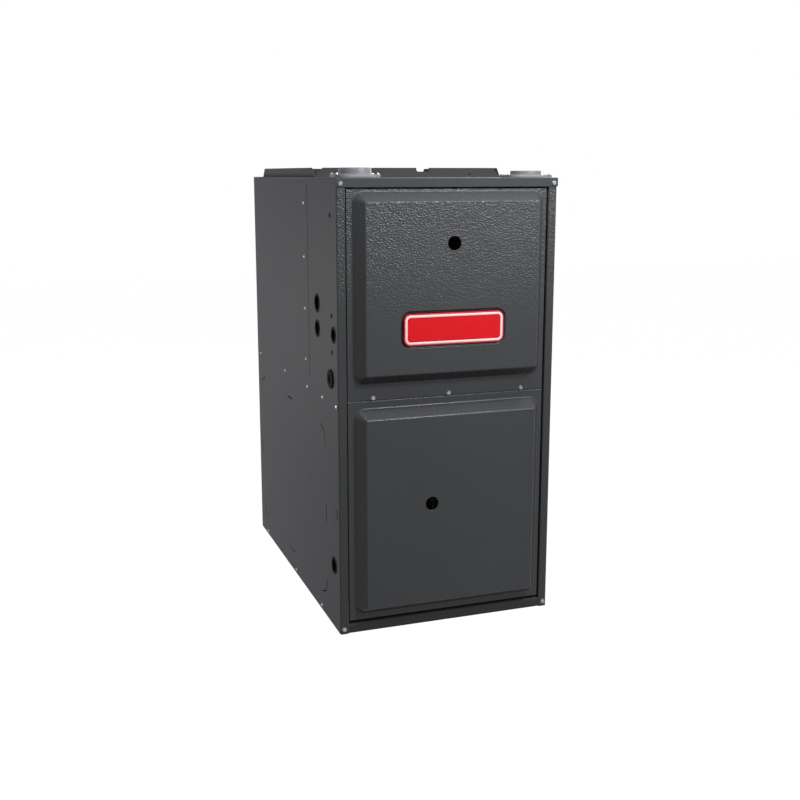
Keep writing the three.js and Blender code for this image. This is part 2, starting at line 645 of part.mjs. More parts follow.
// The blower deck carries the blower on two rails and closes off the burner side above it.
function blowerDeck() {
  const noseX = openingX - DOOR_RIGHT_GAP - SHEET - FIT;
  const noseFront = doorFace + SHEET + FIT;
  const plate = prism("y", [doorFace + RETURN, innerBack - BEND / 2], folded([
    [innerX, DECK_HEIGHT - DECK_FLANGE], [innerX, DECK_HEIGHT], [-innerX, DECK_HEIGHT],
    [-innerX, DECK_HEIGHT - DECK_FLANGE],
  ]));
  const nose = prism("x", [-noseX, noseX], folded([
    [noseFront, DECK_HEIGHT + DECK_FLANGE], [noseFront, deckUnder], [front + RETURN + BEND, deckUnder],
  ]));
  const [outletFront, outletBack] = [BLOWER_Y + scroll.outletFront, BLOWER_Y + scroll.outletBack];
  const outlet = block([-HOUSING_WIDTH / 2 + SHEET, HOUSING_WIDTH / 2 - SHEET],
    [outletFront + SHEET, outletBack - SHEET], [deckUnder - 1, DECK_HEIGHT + 1]);
  const drop = deckUnder - SHEET - 2 * FIT;
  const rails = [-1, 1].map((side) => {
    const outer = HOUSING_WIDTH / 2 + HOUSING_FLANGE + FIT;
    const line = [[outer, deckUnder + SHEET / 2], [outer, drop], [outer - HOUSING_FLANGE / 2, drop]];
    const outline = folded(line, SHEET, SHEET).map(([u, v]) => [side * u, v]);
    return prism("y", [outletFront, outletBack], outline);
  });
  return cut(join(plate, nose, ...rails), outlet, ...doorScrewHoles(noseFront + SHEET + 1));
}

function vestibulePanel() {
  const y = vestibuleFront;
  const panel = prism("z", [DECK_HEIGHT + FIT, wrapTop], folded([
    [-innerX, y + VESTIBULE_FLANGE], [-innerX, y], [innerX, y], [innerX, y + VESTIBULE_FLANGE],
  ]));
  const through = [y - 1, y + SHEET + 1];
  const ports = burnerPlaces.map((x) => rod("y", through, [x, burnerHeight], tubeRadius - TUBE_WALL));
  const coilPort = block([collectorLeft + 2 * COIL_PORT_MARGIN, collectorRight - 2 * COIL_PORT_MARGIN], through,
    [coilBottom + COIL_PORT_MARGIN, coilBottom + COIL_HEIGHT - COIL_PORT_MARGIN]);
  return cut(panel, ...ports, coilPort);
}

// Foil faced board on the three outer walls of the heat exchanger space.
function linerBoard() {
  const start = vestibuleFront + VESTIBULE_FLANGE + SHEET;
  const inner = innerX - LINER_THICKNESS;
  return prism("z", [DECK_HEIGHT + FIT, wrapTop - FIT], [
    [-innerX, start], [-inner, start], [-inner, innerBack - LINER_THICKNESS], [inner, innerBack - LINER_THICKNESS],
    [inner, start], [innerX, start], [innerX, innerBack - BEND], [innerX - BEND, innerBack],
    [-innerX + BEND, innerBack], [-innerX, innerBack - BEND],
  ]);
}

// ---------------------------------------------------------------- doors and screws

const fieldX = openingX - FIELD_INSET;
const upperDoorRange = [DECK_HEIGHT + DOOR_SEAM / 2, CABINET_HEIGHT - RAIL_DROP - DOOR_TOP_GAP];
const lowerDoorRange = [RAIL_RISE + DOOR_BOTTOM_GAP, DECK_HEIGHT - DOOR_SEAM / 2];

// One face of the pressed field as a solid bump. The slope's line is moved in, and both its edges are folded.
function fieldBump([z0, z1], inset, footDepth) {
  const [slope, top] = [[FIELD_BEVEL, 0], [0, FIELD_RELIEF]];
  const far = FIELD_BEVEL * 2;
  const line = offsetLine([[far, 0], slope, top, [-far, FIELD_RELIEF]], inset);
  const rounded = roundLine(line, FIELD_FOLD - inset, FIELD_FOLD + inset, 2).slice(1, -1);
  const foot = [rounded[0][0], rounded[0][1] - footDepth];
  return loft([foot, ...rounded].map(([grow, rise]) => [
    doorFace - rise,
    roundedRectangle([-fieldX - grow, fieldX + grow], [z0 - grow, z1 + grow], FIELD_RADIUS + grow),
  ]));
}

// A stamped door: a hem on the closed edges, a flat border, and the raised field with its sight hole.
function door([z0, z1], field, openEdge, sight) {
  const [x0, x1] = [-openingX + DOOR_LEFT_GAP, openingX - DOOR_RIGHT_GAP];
  const slab = block([x0, x1], [doorFace, doorFace + DOOR_HEM], [z0, z1]);
  const hollow = block([x0 + SHEET, x1 - SHEET], [doorFace + SHEET, doorFace + DOOR_HEM + 1],
    openEdge === "bottom" ? [z0 - 1, z1 - SHEET] : [z0 + SHEET, z1 + 1]);
  const outside = join(slab, fieldBump(field, 0, SHEET / 2));
  const inside = join(hollow, fieldBump(field, SHEET, SHEET / 2));
  const fieldFace = doorFace - FIELD_RELIEF;
  return cut(outside, inside, rod("y", [fieldFace - 1, fieldFace + SHEET + 1], sight, SIGHT_HOLE_RADIUS, 20));
}

function upperDoor() {
  const field = [upperDoorRange[0] + UPPER_FIELD_BOTTOM_MARGIN, upperDoorRange[1] - UPPER_FIELD_TOP_MARGIN];
  const body = door(upperDoorRange, field, "bottom", [0, field[1] - UPPER_SIGHT_DROP]);
  return cut(body, ...doorScrewHoles(doorFace + SHEET + 1));
}

function lowerDoor() {
  const field = [lowerDoorRange[0] + LOWER_FIELD_BOTTOM_MARGIN, lowerDoorRange[1] - LOWER_FIELD_TOP_MARGIN];
  return door(lowerDoorRange, field, "top", [LOWER_SIGHT_X, field[1] - LOWER_SIGHT_DROP]);
}

// A plain badge plate with a raised rim, standing off the door by the clearance.
function badgePlate() {
  const rear = doorFace - FIELD_RELIEF - FIT;
  const middle = upperDoorRange[0] + UPPER_FIELD_BOTTOM_MARGIN + BADGE_RISE;
  const outline = (inset) => roundedRectangle(
    [-BADGE_WIDTH / 2 + inset, BADGE_WIDTH / 2 - inset],
    [middle - BADGE_HEIGHT / 2 + inset, middle + BADGE_HEIGHT / 2 - inset],
    BADGE_RADIUS - inset,
  );
  const plate = prism("y", [rear - BADGE_THICKNESS, rear], outline(0));
  const rim = prism("y", [rear - BADGE_THICKNESS - BADGE_RIM_HEIGHT, rear - BADGE_THICKNESS / 2],
    outline(BADGE_RIM_INSET), [outline(BADGE_RIM_INSET + BADGE_RIM)]);
  return join(plate, rim);
}

const doorScrewPlaces = [-1, 0, 1].map((step) => [step * DOOR_SCREW_PITCH, DECK_HEIGHT + DOOR_SCREW_RISE]);
const doorScrewHoles = (reach) =>
  doorScrewPlaces.map((place) => rod("y", [doorFace - 5, reach], place, SCREW_SHANK_RADIUS + FIT, 8));

const cornerX = halfWidth - CORNER_SCREW_INSET;
const cornerHeights = { top: CABINET_HEIGHT - CORNER_SCREW_END, bottom: CORNER_SCREW_END };
const cornerScrewHoles = (end) => [-cornerX, cornerX].map((x) =>
  rod("y", [front - 5, front + 5], [x, cornerHeights[end]], SCREW_SHANK_RADIUS + FIT, 8));

// A slotted hexagon washer screw along Y, seated at y = 0 with its shank going back.
function screw() {
  const flange = SCREW_HEAD_HEIGHT * 0.3;
  const washer = rod("y", [-flange, 0], [0, 0], SCREW_WASHER_RADIUS, 10);
  const head = rod("y", [-SCREW_HEAD_HEIGHT, -flange / 2], [0, 0], SCREW_HEAD_RADIUS, 6);
  const shank = rod("y", [-flange / 2, SCREW_LENGTH], [0, 0], SCREW_SHANK_RADIUS, 6);
  const slot = block([-SCREW_HEAD_RADIUS, SCREW_HEAD_RADIUS],
    [-SCREW_HEAD_HEIGHT - 1, -SCREW_HEAD_HEIGHT / 2], [-SCREW_SLOT / 2, SCREW_SLOT / 2]);
  return cut(join(washer, head, shank), slot);
}

function doorScrews() {
  const names = ["left", "centre", "right"];
  return doorScrewPlaces.map(([x, z], i) =>
    piece(`door_screw_${names[i]}`, screw(), finishes.zinc, [x, doorFace - FIT, z]));
}

// The upper pair clamps the top panel's lip to the stiles, and the lower pair the stiles to the base pan.
function cornerScrews() {
  const seats = { top: front - FIT - SHEET - FIT, bottom: front - FIT };
  return ["top", "bottom"].flatMap((end) =>
    [["left", -cornerX], ["right", cornerX]].map(([side, x]) =>
      piece(`corner_screw_${end}_${side}`, screw(), finishes.zinc, [x, seats[end], cornerHeights[end]])));
}

// ---------------------------------------------------------------- vent and intake

// A screwed-down base with a short round socket on it.
function collar(width, base, height) {
  const foot = roundedRectangle([-width / 2, width / 2], [-COLLAR_DEPTH / 2, COLLAR_DEPTH / 2], COLLAR_DEPTH / 3);
  const socket = rod("z", [base / 2, height], [0, 0], PIPE_RADIUS, 20);
  const bore = rod("z", [-1, height + 1], [0, 0], PIPE_RADIUS - PIPE_WALL, 20);
  return cut(join(prism("z", [0, base], foot), socket), bore);
}

const inducerX = collectorLeft + INDUCER_INSET;
const inducerPlace = [inducerX, vestibuleFront - FIT - COLLECTOR_DEPTH - FIT, DECK_HEIGHT + INDUCER_RISE];
const ventOutlet = [
  inducerX - INDUCER_OUTLET_OFFSET,
  inducerPlace[1] - INDUCER_DEPTH / 2,
  inducerPlace[2] + INDUCER_OUTLET_RISE,
];

// The vent pipe climbs from the inducer, steps forward and outward, and ends below the top panel.
function ventPipe() {
  const [x, y, z] = ventOutlet;
  const stepStart = z + COUPLING_LENGTH * 1.25;
  const stepEnd = stepStart + PIPE_RADIUS * 2.4;
  return pipe([[x, y, z + FIT], [x, y, stepStart], [...vent, stepEnd], [...vent, wrapTop]],
    PIPE_RADIUS * 1.25, PIPE_RADIUS, PIPE_RADIUS - PIPE_WALL, 12, 2);
}

function ventCoupling() {
  const [x, y, z] = ventOutlet;
  const [inner, outer] = [PIPE_RADIUS + 2 * FIT, PIPE_RADIUS + 2 * FIT + COUPLING_WALL];
  const [low, high] = [z - COUPLING_LENGTH * 0.35, z + COUPLING_LENGTH * 0.65];
  return turned("z", [x, y], [[inner, low], [outer, low], [outer, high], [inner, high]], 16);
}

// ---------------------------------------------------------------- burners and gas train

const burnerPlaces = Array.from({ length: BURNER_COUNT }, (_, i) => (i - (BURNER_COUNT - 1) / 2) * BURNER_PITCH);
const trayX = burnerPlaces.at(-1) + TRAY_SIDE_MARGIN;
const burnerBack = vestibuleFront - FIT;
const burnerMouth = burnerBack - BURNER_LENGTH;
const manifoldY = burnerMouth - MANIFOLD_STANDOFF;
const throatY = burnerBack - BURNER_LENGTH * 0.62;

// An in-shot burner: mouth, venturi throat and flame head, open from end to end.
function burner() {
  const station = (share, radius) => [radius, -BURNER_LENGTH * share];
  const outer = [
    station(1, BURNER_MOUTH_RADIUS), station(0.78, BURNER_THROAT_RADIUS), station(0.5, BURNER_THROAT_RADIUS),
    station(0.32, BURNER_HEAD_RADIUS), station(0, BURNER_HEAD_RADIUS),
  ];
  const inner = outer.map(([radius, y]) => [radius - BURNER_WALL, y]).reverse();
  return turned("y", [0, 0], [...outer, ...inner], 8);
}

// The tray hangs on the vestibule panel; its notched front wall carries the burners and its ends the manifold.
function burnerTray() {
  const floor = burnerHeight - TRAY_DROP;
  const notchTop = burnerHeight - BURNER_THROAT_RADIUS * 0.2;
  const sheet = prism("x", [-trayX, trayX], folded([
    [throatY, notchTop], [throatY, floor], [burnerBack - SHEET, floor], [burnerBack - SHEET, floor - TRAY_DROP / 2],
  ]));
  const notches = burnerPlaces.map((x) =>
    rod("y", [throatY - 1, throatY + SHEET + 1], [x, burnerHeight], BURNER_THROAT_RADIUS + FIT, 16));
  const end = [
    [burnerBack, floor], [burnerBack, burnerHeight + TRAY_WALL_RISE],
    [throatY, burnerHeight + TRAY_WALL_RISE], [manifoldY - MANIFOLD_RADIUS * 1.5, burnerHeight + TRAY_WALL_RISE],
    [manifoldY - MANIFOLD_RADIUS * 1.5, burnerHeight - TRAY_WALL_RISE], [throatY, floor],
  ];
  const seat = circle([manifoldY, burnerHeight], MANIFOLD_RADIUS + 1);
  const walls = [[-trayX, -trayX + SHEET], [trayX - SHEET, trayX]].map((range) =>
    prism("x", range, end, [seat]));
  return join(cut(sheet, ...notches), ...walls);
}

const valveX = halfWidth - VALVE_INSET;
const gasLineY = front + GAS_LINE_FROM_FRONT;
const gasLineHeight = DECK_HEIGHT + GAS_LINE_RISE;
const valveTop = gasLineHeight + VALVE_HEIGHT / 2;

// Half inch pipe from the valve's outlet up to the burners, with one orifice in front of each mouth.
function gasManifold() {
  const outlet = valveTop + MANIFOLD_RADIUS + FIT;
  const line = pipe([
    [valveX, gasLineY, outlet], [valveX, gasLineY, outlet + 40], [valveX, manifoldY, burnerHeight - 34],
    [valveX, manifoldY, burnerHeight], [-trayX - MANIFOLD_RADIUS, manifoldY, burnerHeight],
  ], MANIFOLD_RADIUS * 1.4, MANIFOLD_RADIUS, 0, 10);
  const orifices = burnerPlaces.map((x) =>
    rod("y", [manifoldY, burnerMouth - 2], [x, burnerHeight], ORIFICE_RADIUS, 6));
  return join(line, ...orifices);
}

// Valve body with its inlet facing the side panel's gas hole and its outlet up to the manifold.
function gasValve() {
  const [halfW, halfD] = [VALVE_WIDTH / 2, VALVE_DEPTH / 2];
  const body = prism("z", [gasLineHeight - VALVE_HEIGHT / 2, valveTop - 8], roundedRectangle(
    [valveX - halfW, valveX + halfW], [gasLineY - halfD, gasLineY + halfD], 6, 2));
  const cap = prism("z", [valveTop - 9, valveTop], roundedRectangle(
    [valveX - halfW + 8, valveX + halfW - 8], [gasLineY - halfD + 6, gasLineY + halfD - 6], 5, 2));
  const boss = rod("z", [valveTop - 2, valveTop + MANIFOLD_RADIUS], [valveX, gasLineY], MANIFOLD_RADIUS + 4, 8);
  const inlet = rod("x", [valveX + halfW - 2, valveX + halfW + 12], [gasLineY, gasLineHeight], MANIFOLD_RADIUS + 5, 8);
  const solenoid = rod("y", [gasLineY - halfD - 16, gasLineY - halfD + 2],
    [valveX - halfW / 2, gasLineHeight - VALVE_HEIGHT / 6], 13, 14);
  const bore = rod("x", [valveX + halfW - 6, valveX + halfW + 20], [gasLineY, gasLineHeight], MANIFOLD_RADIUS, 12);
  const pin = rod("y", [gasLineY - halfD - 6, gasLineY - halfD + 2], leverPivot, 4, 8);
  return cut(join(body, cap, boss, inlet, solenoid, pin), bore);
}

const leverPivot = [valveX + VALVE_WIDTH / 4, gasLineHeight];

// The on and off lever: a hub on the valve's pin with a short handle.
function valveLever() {
  const face = gasLineY - VALVE_DEPTH / 2 - FIT;
  const [x, z] = leverPivot;
  const hub = rod("y", [face - 5, face], [x, z], 8, 14);
  const handle = prism("y", [face - 5, face], [
    [x - 3, z], [x + 3, z], [x + 2.2, z + 8 + LEVER_SWING_ROOM], [x - 2.2, z + 8 + LEVER_SWING_ROOM],
  ]);
  return cut(join(hub, handle), rod("y", [face - 6, face + 1], [x, z], 4 + FIT, 12));
}

// Igniter and flame sensor: a ceramic holder under the first and last burner, with its tip in front of the head.
function burnerProbe(tipRadius) {
  const tip = burnerBack - 8;
  const floor = -TRAY_DROP + SHEET + FIT;
  const holder = block([-6, 6], [tip - 24, tip - 10], [floor, floor + 5]);
  const stem = rod("y", [tip - 12, tip], [0, floor + 2.5], tipRadius, 8);
  return join(holder, stem);
}

const rolloutPlace = [trayX + FIT, burnerBack - 40, burnerHeight + 6];

// A snap disc switch on the tray's end wall, with a sleeve for its manual reset button.
function rolloutSwitch() {
  const disc = rod("x", [0, 6], [0, 0], 11, 16);
  const sleeve = rod("x", [5, 12], [0, 0], BUTTON_RADIUS + 2.4, 12);
  return cut(join(disc, sleeve), rod("x", [7, 13], [0, 0], BUTTON_RADIUS + FIT, 12));
}

const resetButton = () => rod("x", [9.3, 16], [0, 0], BUTTON_RADIUS, 10);

// ---------------------------------------------------------------- heat exchanger

// One serpentine tube: in at the vestibule panel, back, forward, and back to the header.
function primaryTube() {
  const middle = burnerHeight - passPitch;
  const bend = passPitch / 2;
  const [rear, fore] = [tubeBack + bend, vestibuleBack + TUBE_FRONT_MARGIN - bend];
  return pipe([
    [0, vestibuleBack + FIT, burnerHeight], [0, rear, burnerHeight], [0, rear, middle], [0, fore, middle],
    [0, fore, lowPass], [0, headerFront - FIT, lowPass],
  ], bend, tubeRadius, tubeRadius - TUBE_WALL);
}

const tubeBack = back - TUBE_BACK_MARGIN;
const headerFront = tubeBack + BEND * 2;
const headerTop = lowPass + tubeRadius + HEADER_CROWN;

// The rear header turns the gas from the tubes down into the secondary coil; ports face both.
function rearHeader() {
  const [shoulderY, rear] = [headerFront + HEADER_DEPTH / 2, headerFront + HEADER_DEPTH];
  const outline = [
    [headerFront, coilBottom], [shoulderY, coilBottom], [rear, coilBottom + HEADER_SHOULDER],
    [rear, headerTop - HEADER_BEVEL], [rear - HEADER_BEVEL, headerTop], [headerFront, headerTop],
  ];
  const half = HEADER_WIDTH / 2;
  const shell = prism("x", [-half, half], outline);
  const hollow = prism("x", [-half + SHEET, half - SHEET], insetOutline(outline, SHEET));
  const ports = burnerPlaces.map((x) =>
    rod("y", [headerFront - 1, headerFront + SHEET + 1], [x, lowPass], tubeRadius - TUBE_WALL, 12));
  return cut(shell, hollow, ...ports);
}

// The secondary coil as a finned block: plates across the air stream, above and below a thin core.
function secondaryCoil() {
  const [start, end] = [vestibuleBack + FIT, headerFront - FIT];
  const top = coilBottom + COIL_HEIGHT;
  const count = Math.floor((end - start - FIN_THICKNESS) / FIN_PITCH) + 1;
  const first = (start + end - (count - 1) * FIN_PITCH - FIN_THICKNESS) / 2;
  const comb = (tip, root) => Array.from({ length: count }, (_, i) => first + i * FIN_PITCH).flatMap((y) =>
    [[y, root], [y, tip], [y + FIN_THICKNESS, tip], [y + FIN_THICKNESS, root]]);
  const [low, high] = [coilBottom + FIN_DEPTH, top - FIN_DEPTH];
  const lower = [[start, low], ...comb(coilBottom, low), [end, low]];
  const upper = [[start, high], ...comb(top, high), [end, high]];
  return prism("x", [-COIL_WIDTH / 2, COIL_WIDTH / 2], [...lower, ...upper.reverse()]);
}

// ---------------------------------------------------------------- inducer and condensate

const collectorBottom = DECK_HEIGHT + COLLECTOR_RISE;
const collectorTop = collectorBottom + COLLECTOR_HEIGHT;
const collectorY = burnerBack - COLLECTOR_DEPTH / 2; // its nozzle's and taps' axes

// The black box on the vestibule panel that gathers gas and condensate from the coil.
function collectorBox() {
  const face = burnerBack - COLLECTOR_DEPTH;
  const outline = (inset) => roundedRectangle([collectorLeft + inset, collectorRight - inset],
    [collectorBottom + inset, collectorTop - inset], COLLECTOR_RADIUS - inset, 2);
  const shell = prism("y", [face, burnerBack], outline(0));
  const hollow = prism("y", [face + COLLECTOR_WALL, burnerBack + 1], outline(COLLECTOR_WALL));
  const suction = rod("y", [face - 1, face + COLLECTOR_WALL + 1], [inducerX, inducerPlace[2]], INDUCER_EYE_RADIUS, 16);
  const nozzle = rod("z", [collectorBottom - NOZZLE_LENGTH, collectorBottom + 1],
    [collectorLeft + NOZZLE_INSET, collectorY], NOZZLE_RADIUS, 10);
  const taps = [0, 1].map((i) => rod("z", [collectorTop - 1, collectorTop + NOZZLE_LENGTH],
    [collectorRight - TAP_INSET - i * TAP_PITCH, collectorY], TAP_RADIUS, 8));
  return join(cut(shell, hollow, suction), nozzle, ...taps);
}

const polar = (radius, angle) => [radius * Math.cos(angle), radius * Math.sin(angle)];

// An arc whose radius grows with its turn.
function spiral(start, end, base, growth, steps) {
  return Array.from({ length: steps + 1 }, (_, i) =>
    polar(base + (growth * i) / steps, start + ((end - start) * i) / steps));
}

// A curved blade seen along its shaft, through stations of [radius, lean].
function vane(stations, turn, thickness) {
  const side = (offset) => stations.map(([radius, lean]) => {
    const [u, v] = polar(radius, turn + lean);
    const [across, along] = polar(offset, turn + lean + Math.PI / 2);
    return [u + across, v + along];
  });
  return [...side(-thickness / 2), ...side(thickness / 2).reverse()];
}

// The inducer's volute with a round neck on top; the wheel's shaft leaves through the front.
function inducerHousing() {
  const wall = INDUCER_WALL;
  const neckHalf = PIPE_RADIUS - PIPE_WALL;
  const neckX = -INDUCER_OUTLET_OFFSET;
  const base = INDUCER_WHEEL_RADIUS + INDUCER_CLEARANCE;
  const outline = (inset, top) => {
    const curve = spiral(Math.PI * 0.72, -Math.PI, base - inset, neckHalf - neckX - base, 14);
    return [[neckX + neckHalf - inset, top], ...curve, [neckX - neckHalf + inset, top]];
  };
  const top = INDUCER_OUTLET_RISE - COUPLING_LENGTH / 2;
  const shell = prism("y", [-INDUCER_DEPTH, 0], outline(0, top));
  const hollow = prism("y", [-INDUCER_DEPTH + wall, -wall], outline(wall, top - wall));
  const neckPlace = [neckX, -INDUCER_DEPTH / 2];
  const neck = rod("z", [top - wall, INDUCER_OUTLET_RISE], neckPlace, PIPE_RADIUS, 16);
  const throat = rod("z", [top - 2 * wall, INDUCER_OUTLET_RISE + 1], neckPlace, neckHalf - 2 * wall, 16);
  const eye = rod("y", [-wall - 1, 1], [0, 0], INDUCER_EYE_RADIUS, 16);
  const shaftHole = rod("y", [-INDUCER_DEPTH - 1, -INDUCER_DEPTH + wall + 1], [0, 0], INDUCER_SHAFT_RADIUS * 1.5, 10);
  return cut(join(shell, neck), hollow, throat, eye, shaftHole);
}

// Radial blades on a back plate, and the shaft that runs out through the motor.
function inducerWheel() {
  const [rear, tip] = [-INDUCER_DEPTH * 0.76, -INDUCER_DEPTH * 0.24];
  const plate = rod("y", [rear, rear + 2], [0, 0], INDUCER_WHEEL_RADIUS, 20);
  const hub = rod("y", [rear, (rear + tip) / 2], [0, 0], HUB_RADIUS / 2, 10);
  const tipRadius = INDUCER_WHEEL_RADIUS - 1;
  const stations = [[HUB_RADIUS * 0.4, 0], [tipRadius * 0.65, 0.12], [tipRadius, 0.34]];
  const blades = Array.from({ length: INDUCER_BLADES }, (_, i) =>
    prism("y", [rear + 1, tip], vane(stations, (2 * Math.PI * i) / INDUCER_BLADES, 2)));
  const shaftStart = -INDUCER_DEPTH - INDUCER_MOTOR_LENGTH - FAN_STANDOFF;
  const shaft = rod("y", [shaftStart, rear + 1], [0, 0], INDUCER_SHAFT_RADIUS, 10);
  return join(plate, hub, shaft, ...blades);
}

// A small open motor: two end bells round a laminated stack.
function inducerMotor() {
  const start = -INDUCER_DEPTH - FIT;
  const at = (share, radius) => [radius, start - INDUCER_MOTOR_LENGTH * share];
  const bore = INDUCER_SHAFT_RADIUS + FIT;
  const r = INDUCER_MOTOR_RADIUS;
  return turned("y", [0, 0], [
    at(1, bore), at(1, r * 0.45), at(0.82, r * 0.8), at(0.72, r * 0.8), at(0.72, r), at(0.3, r), at(0.3, r * 0.85),
    at(0.1, r * 0.85), at(0, r * 0.6), at(0, bore),
  ], 14);
}

// The motor's own cooling fan: a hub and flat paddles on the end of the shaft.
function coolingFan() {
  const start = -INDUCER_DEPTH - INDUCER_MOTOR_LENGTH - FAN_STANDOFF + 2;
  const hub = rod("y", [start, start + FAN_HUB_LENGTH], [0, 0], FAN_HUB_RADIUS);
  const paddles = Array.from({ length: FAN_PADDLES }, (_, i) => {
    const corners = [[FAN_HUB_RADIUS - 2, -0.3], [FAN_RADIUS, -0.3], [FAN_RADIUS, 0.3], [FAN_HUB_RADIUS - 2, 0.3]];
    return prism("y", [start + 1, start + 3], corners.map(([radius, angle]) =>
      polar(radius, (2 * Math.PI * i) / FAN_PADDLES + angle)));
  });
  const bore = rod("y", [start - 1, start + FAN_HUB_LENGTH + 1], [0, 0], INDUCER_SHAFT_RADIUS + FIT, 10);
  return cut(join(hub, ...paddles), bore);
}

const switchPlaces = [-0.5, 0.5].map((step) =>
  [collectorRight - SWITCH_INSET + step * SWITCH_PITCH, burnerBack, DECK_HEIGHT + SWITCH_RISE]);

// A diaphragm switch on a foot against the vestibule panel, with its hose nipple pointing down.
function pressureSwitch() {
  const waist = SWITCH_RADIUS * 0.83;
  const at = (share, radius) => [radius, -SWITCH_DEPTH * share];
  const disc = turned("y", [0, 0], [
    at(0, 0), at(1, 0), at(1, waist / 3), at(0.66, waist / 3), at(0.64, waist), at(0.5, SWITCH_RADIUS),
    at(0.32, SWITCH_RADIUS), at(0.18, waist), at(0, waist),
  ], 12);
  return join(disc, rod("z", [-SWITCH_RADIUS - SWITCH_NIPPLE, -waist + 2], [0, -HOSE_RADIUS * 2], HOSE_RADIUS * 0.75, 6));
}

// A hose from a tap on the collector up to the nipple of its switch.
function pressureHose(index) {
  const [x, , z] = switchPlaces[index];
  const y = burnerBack - HOSE_RADIUS * 2;
  const tapX = collectorRight - TAP_INSET - (1 - index) * TAP_PITCH;
  const tapTop = collectorTop + NOZZLE_LENGTH;
  const top = z - SWITCH_RADIUS - SWITCH_NIPPLE;
  const bend = HOSE_RADIUS * 2;
  return pipe([
    [x, y, top - FIT], [x, y, top - bend * 2.5], [tapX, collectorY, tapTop + bend * 2.5], [tapX, collectorY, tapTop + FIT],
  ], bend, HOSE_RADIUS, 0, 6);
}

const trapPlace = [collectorLeft + NOZZLE_INSET, burnerBack - COLLECTOR_DEPTH - TRAP_STANDOFF];
const trapFront = trapPlace[1] - TRAP_DEPTH / 2;

// The condensate trap stands on the deck: a stepped body, a cap, and an inlet on its back for the collector's hose.
function condensateTrap() {
  const [x, y] = trapPlace;
  const [halfW, halfD] = [TRAP_WIDTH / 2, TRAP_DEPTH / 2];
  const [foot, top] = [DECK_HEIGHT + FIT, DECK_HEIGHT + FIT + TRAP_HEIGHT];
  const body = prism("z", [foot, top - TRAP_CAP],
    roundedRectangle([x - halfW + 3, x + halfW - 3], [y - halfD, y + halfD - 3], 5, 2));
  const cap = prism("z", [top - TRAP_CAP - 1, top], roundedRectangle([x - halfW, x + halfW], [y - halfD, y + halfD], 6, 2));
  const inlet = collectorBottom - NOZZLE_LENGTH;
  const turnHeight = inlet - NOZZLE_RADIUS * 1.4;
  const elbow = pipe([[x, y + halfD - 8, turnHeight], [x, collectorY, turnHeight], [x, collectorY, inlet - FIT]],
    NOZZLE_RADIUS * 1.1, NOZZLE_RADIUS, 0, 10);
  return join(body, cap, elbow);
}

const drainHeight = DECK_HEIGHT + DRAIN_RISE;
const drainY = front + DRAIN_FROM_FRONT;

function drainTube() {
  return pipe([
    [trapPlace[0], trapFront - FIT, drainHeight], [trapPlace[0], drainY, drainHeight],
    [-halfWidth, drainY, drainHeight],
  ], trapFront - FIT - drainY - FIT, DRAIN_TUBE_RADIUS, DRAIN_TUBE_RADIUS - 2, 10, 3);
}

// The rubber grommet that seals the drain tube in the side panel.
function drainGrommet() {
  const inner = DRAIN_TUBE_RADIUS + 2 * FIT;
  const [outside, inside] = [-halfWidth, -halfWidth + SHEET];
  const [neck, rim] = [DRAIN_HOLE_RADIUS - 1, DRAIN_HOLE_RADIUS + 3];
  return turned("x", [drainY, drainHeight], [
    [inner, inside + 3], [inner, outside - 3], [rim - 1, outside - 3], [rim, outside - FIT],
    [neck, outside - FIT], [neck, inside + FIT], [rim, inside + FIT], [rim - 1, inside + 3],
  ], 14);
}

// ---------------------------------------------------------------- blower

// The scroll opens from the cut-off, down the front, under the wheel and up the back, to a straight outlet.
const scroll = (() => {
  const base = WHEEL_RADIUS + HOUSING_CUTOFF;
  const cutoff = Math.PI * 0.62;
  const curve = spiral(cutoff, 2 * Math.PI, base, HOUSING_GROWTH, 24);
  return { curve, outletFront: curve[0][0], outletBack: base + HOUSING_GROWTH };
})();

function scrollOutline(inset, top) {
  const shrunk = scroll.curve.map(([y, z]) => {
    const length = Math.hypot(y, z);
    return [y * (1 - inset / length), z * (1 - inset / length)];
  });
  return [[scroll.outletFront + inset, top], ...shrunk, [scroll.outletBack - inset, top]];
}

// Folded scroll sheet between two side plates with round inlets, open at the top, with flanges for the deck's rails.
function blowerHousing() {
  const half = HOUSING_WIDTH / 2;
  const top = BLOWER_DROP - SHEET - FIT;
  const body = prism("x", [-half, half], scrollOutline(0, top));
  const hollow = prism("x", [-half + SHEET, half - SHEET], scrollOutline(SHEET, top + 1));
  const inlets = rod("x", [-half - 1, half + 1], [0, 0], HOUSING_INLET_RADIUS, 24);
  const flanges = [[-half - HOUSING_FLANGE, -half + SHEET], [half - SHEET, half + HOUSING_FLANGE]].map((range) =>
    block(range, [scroll.outletFront + 2, scroll.outletBack - 2], [top - SHEET, top]));
  return join(cut(body, hollow, inlets), ...flanges);
}

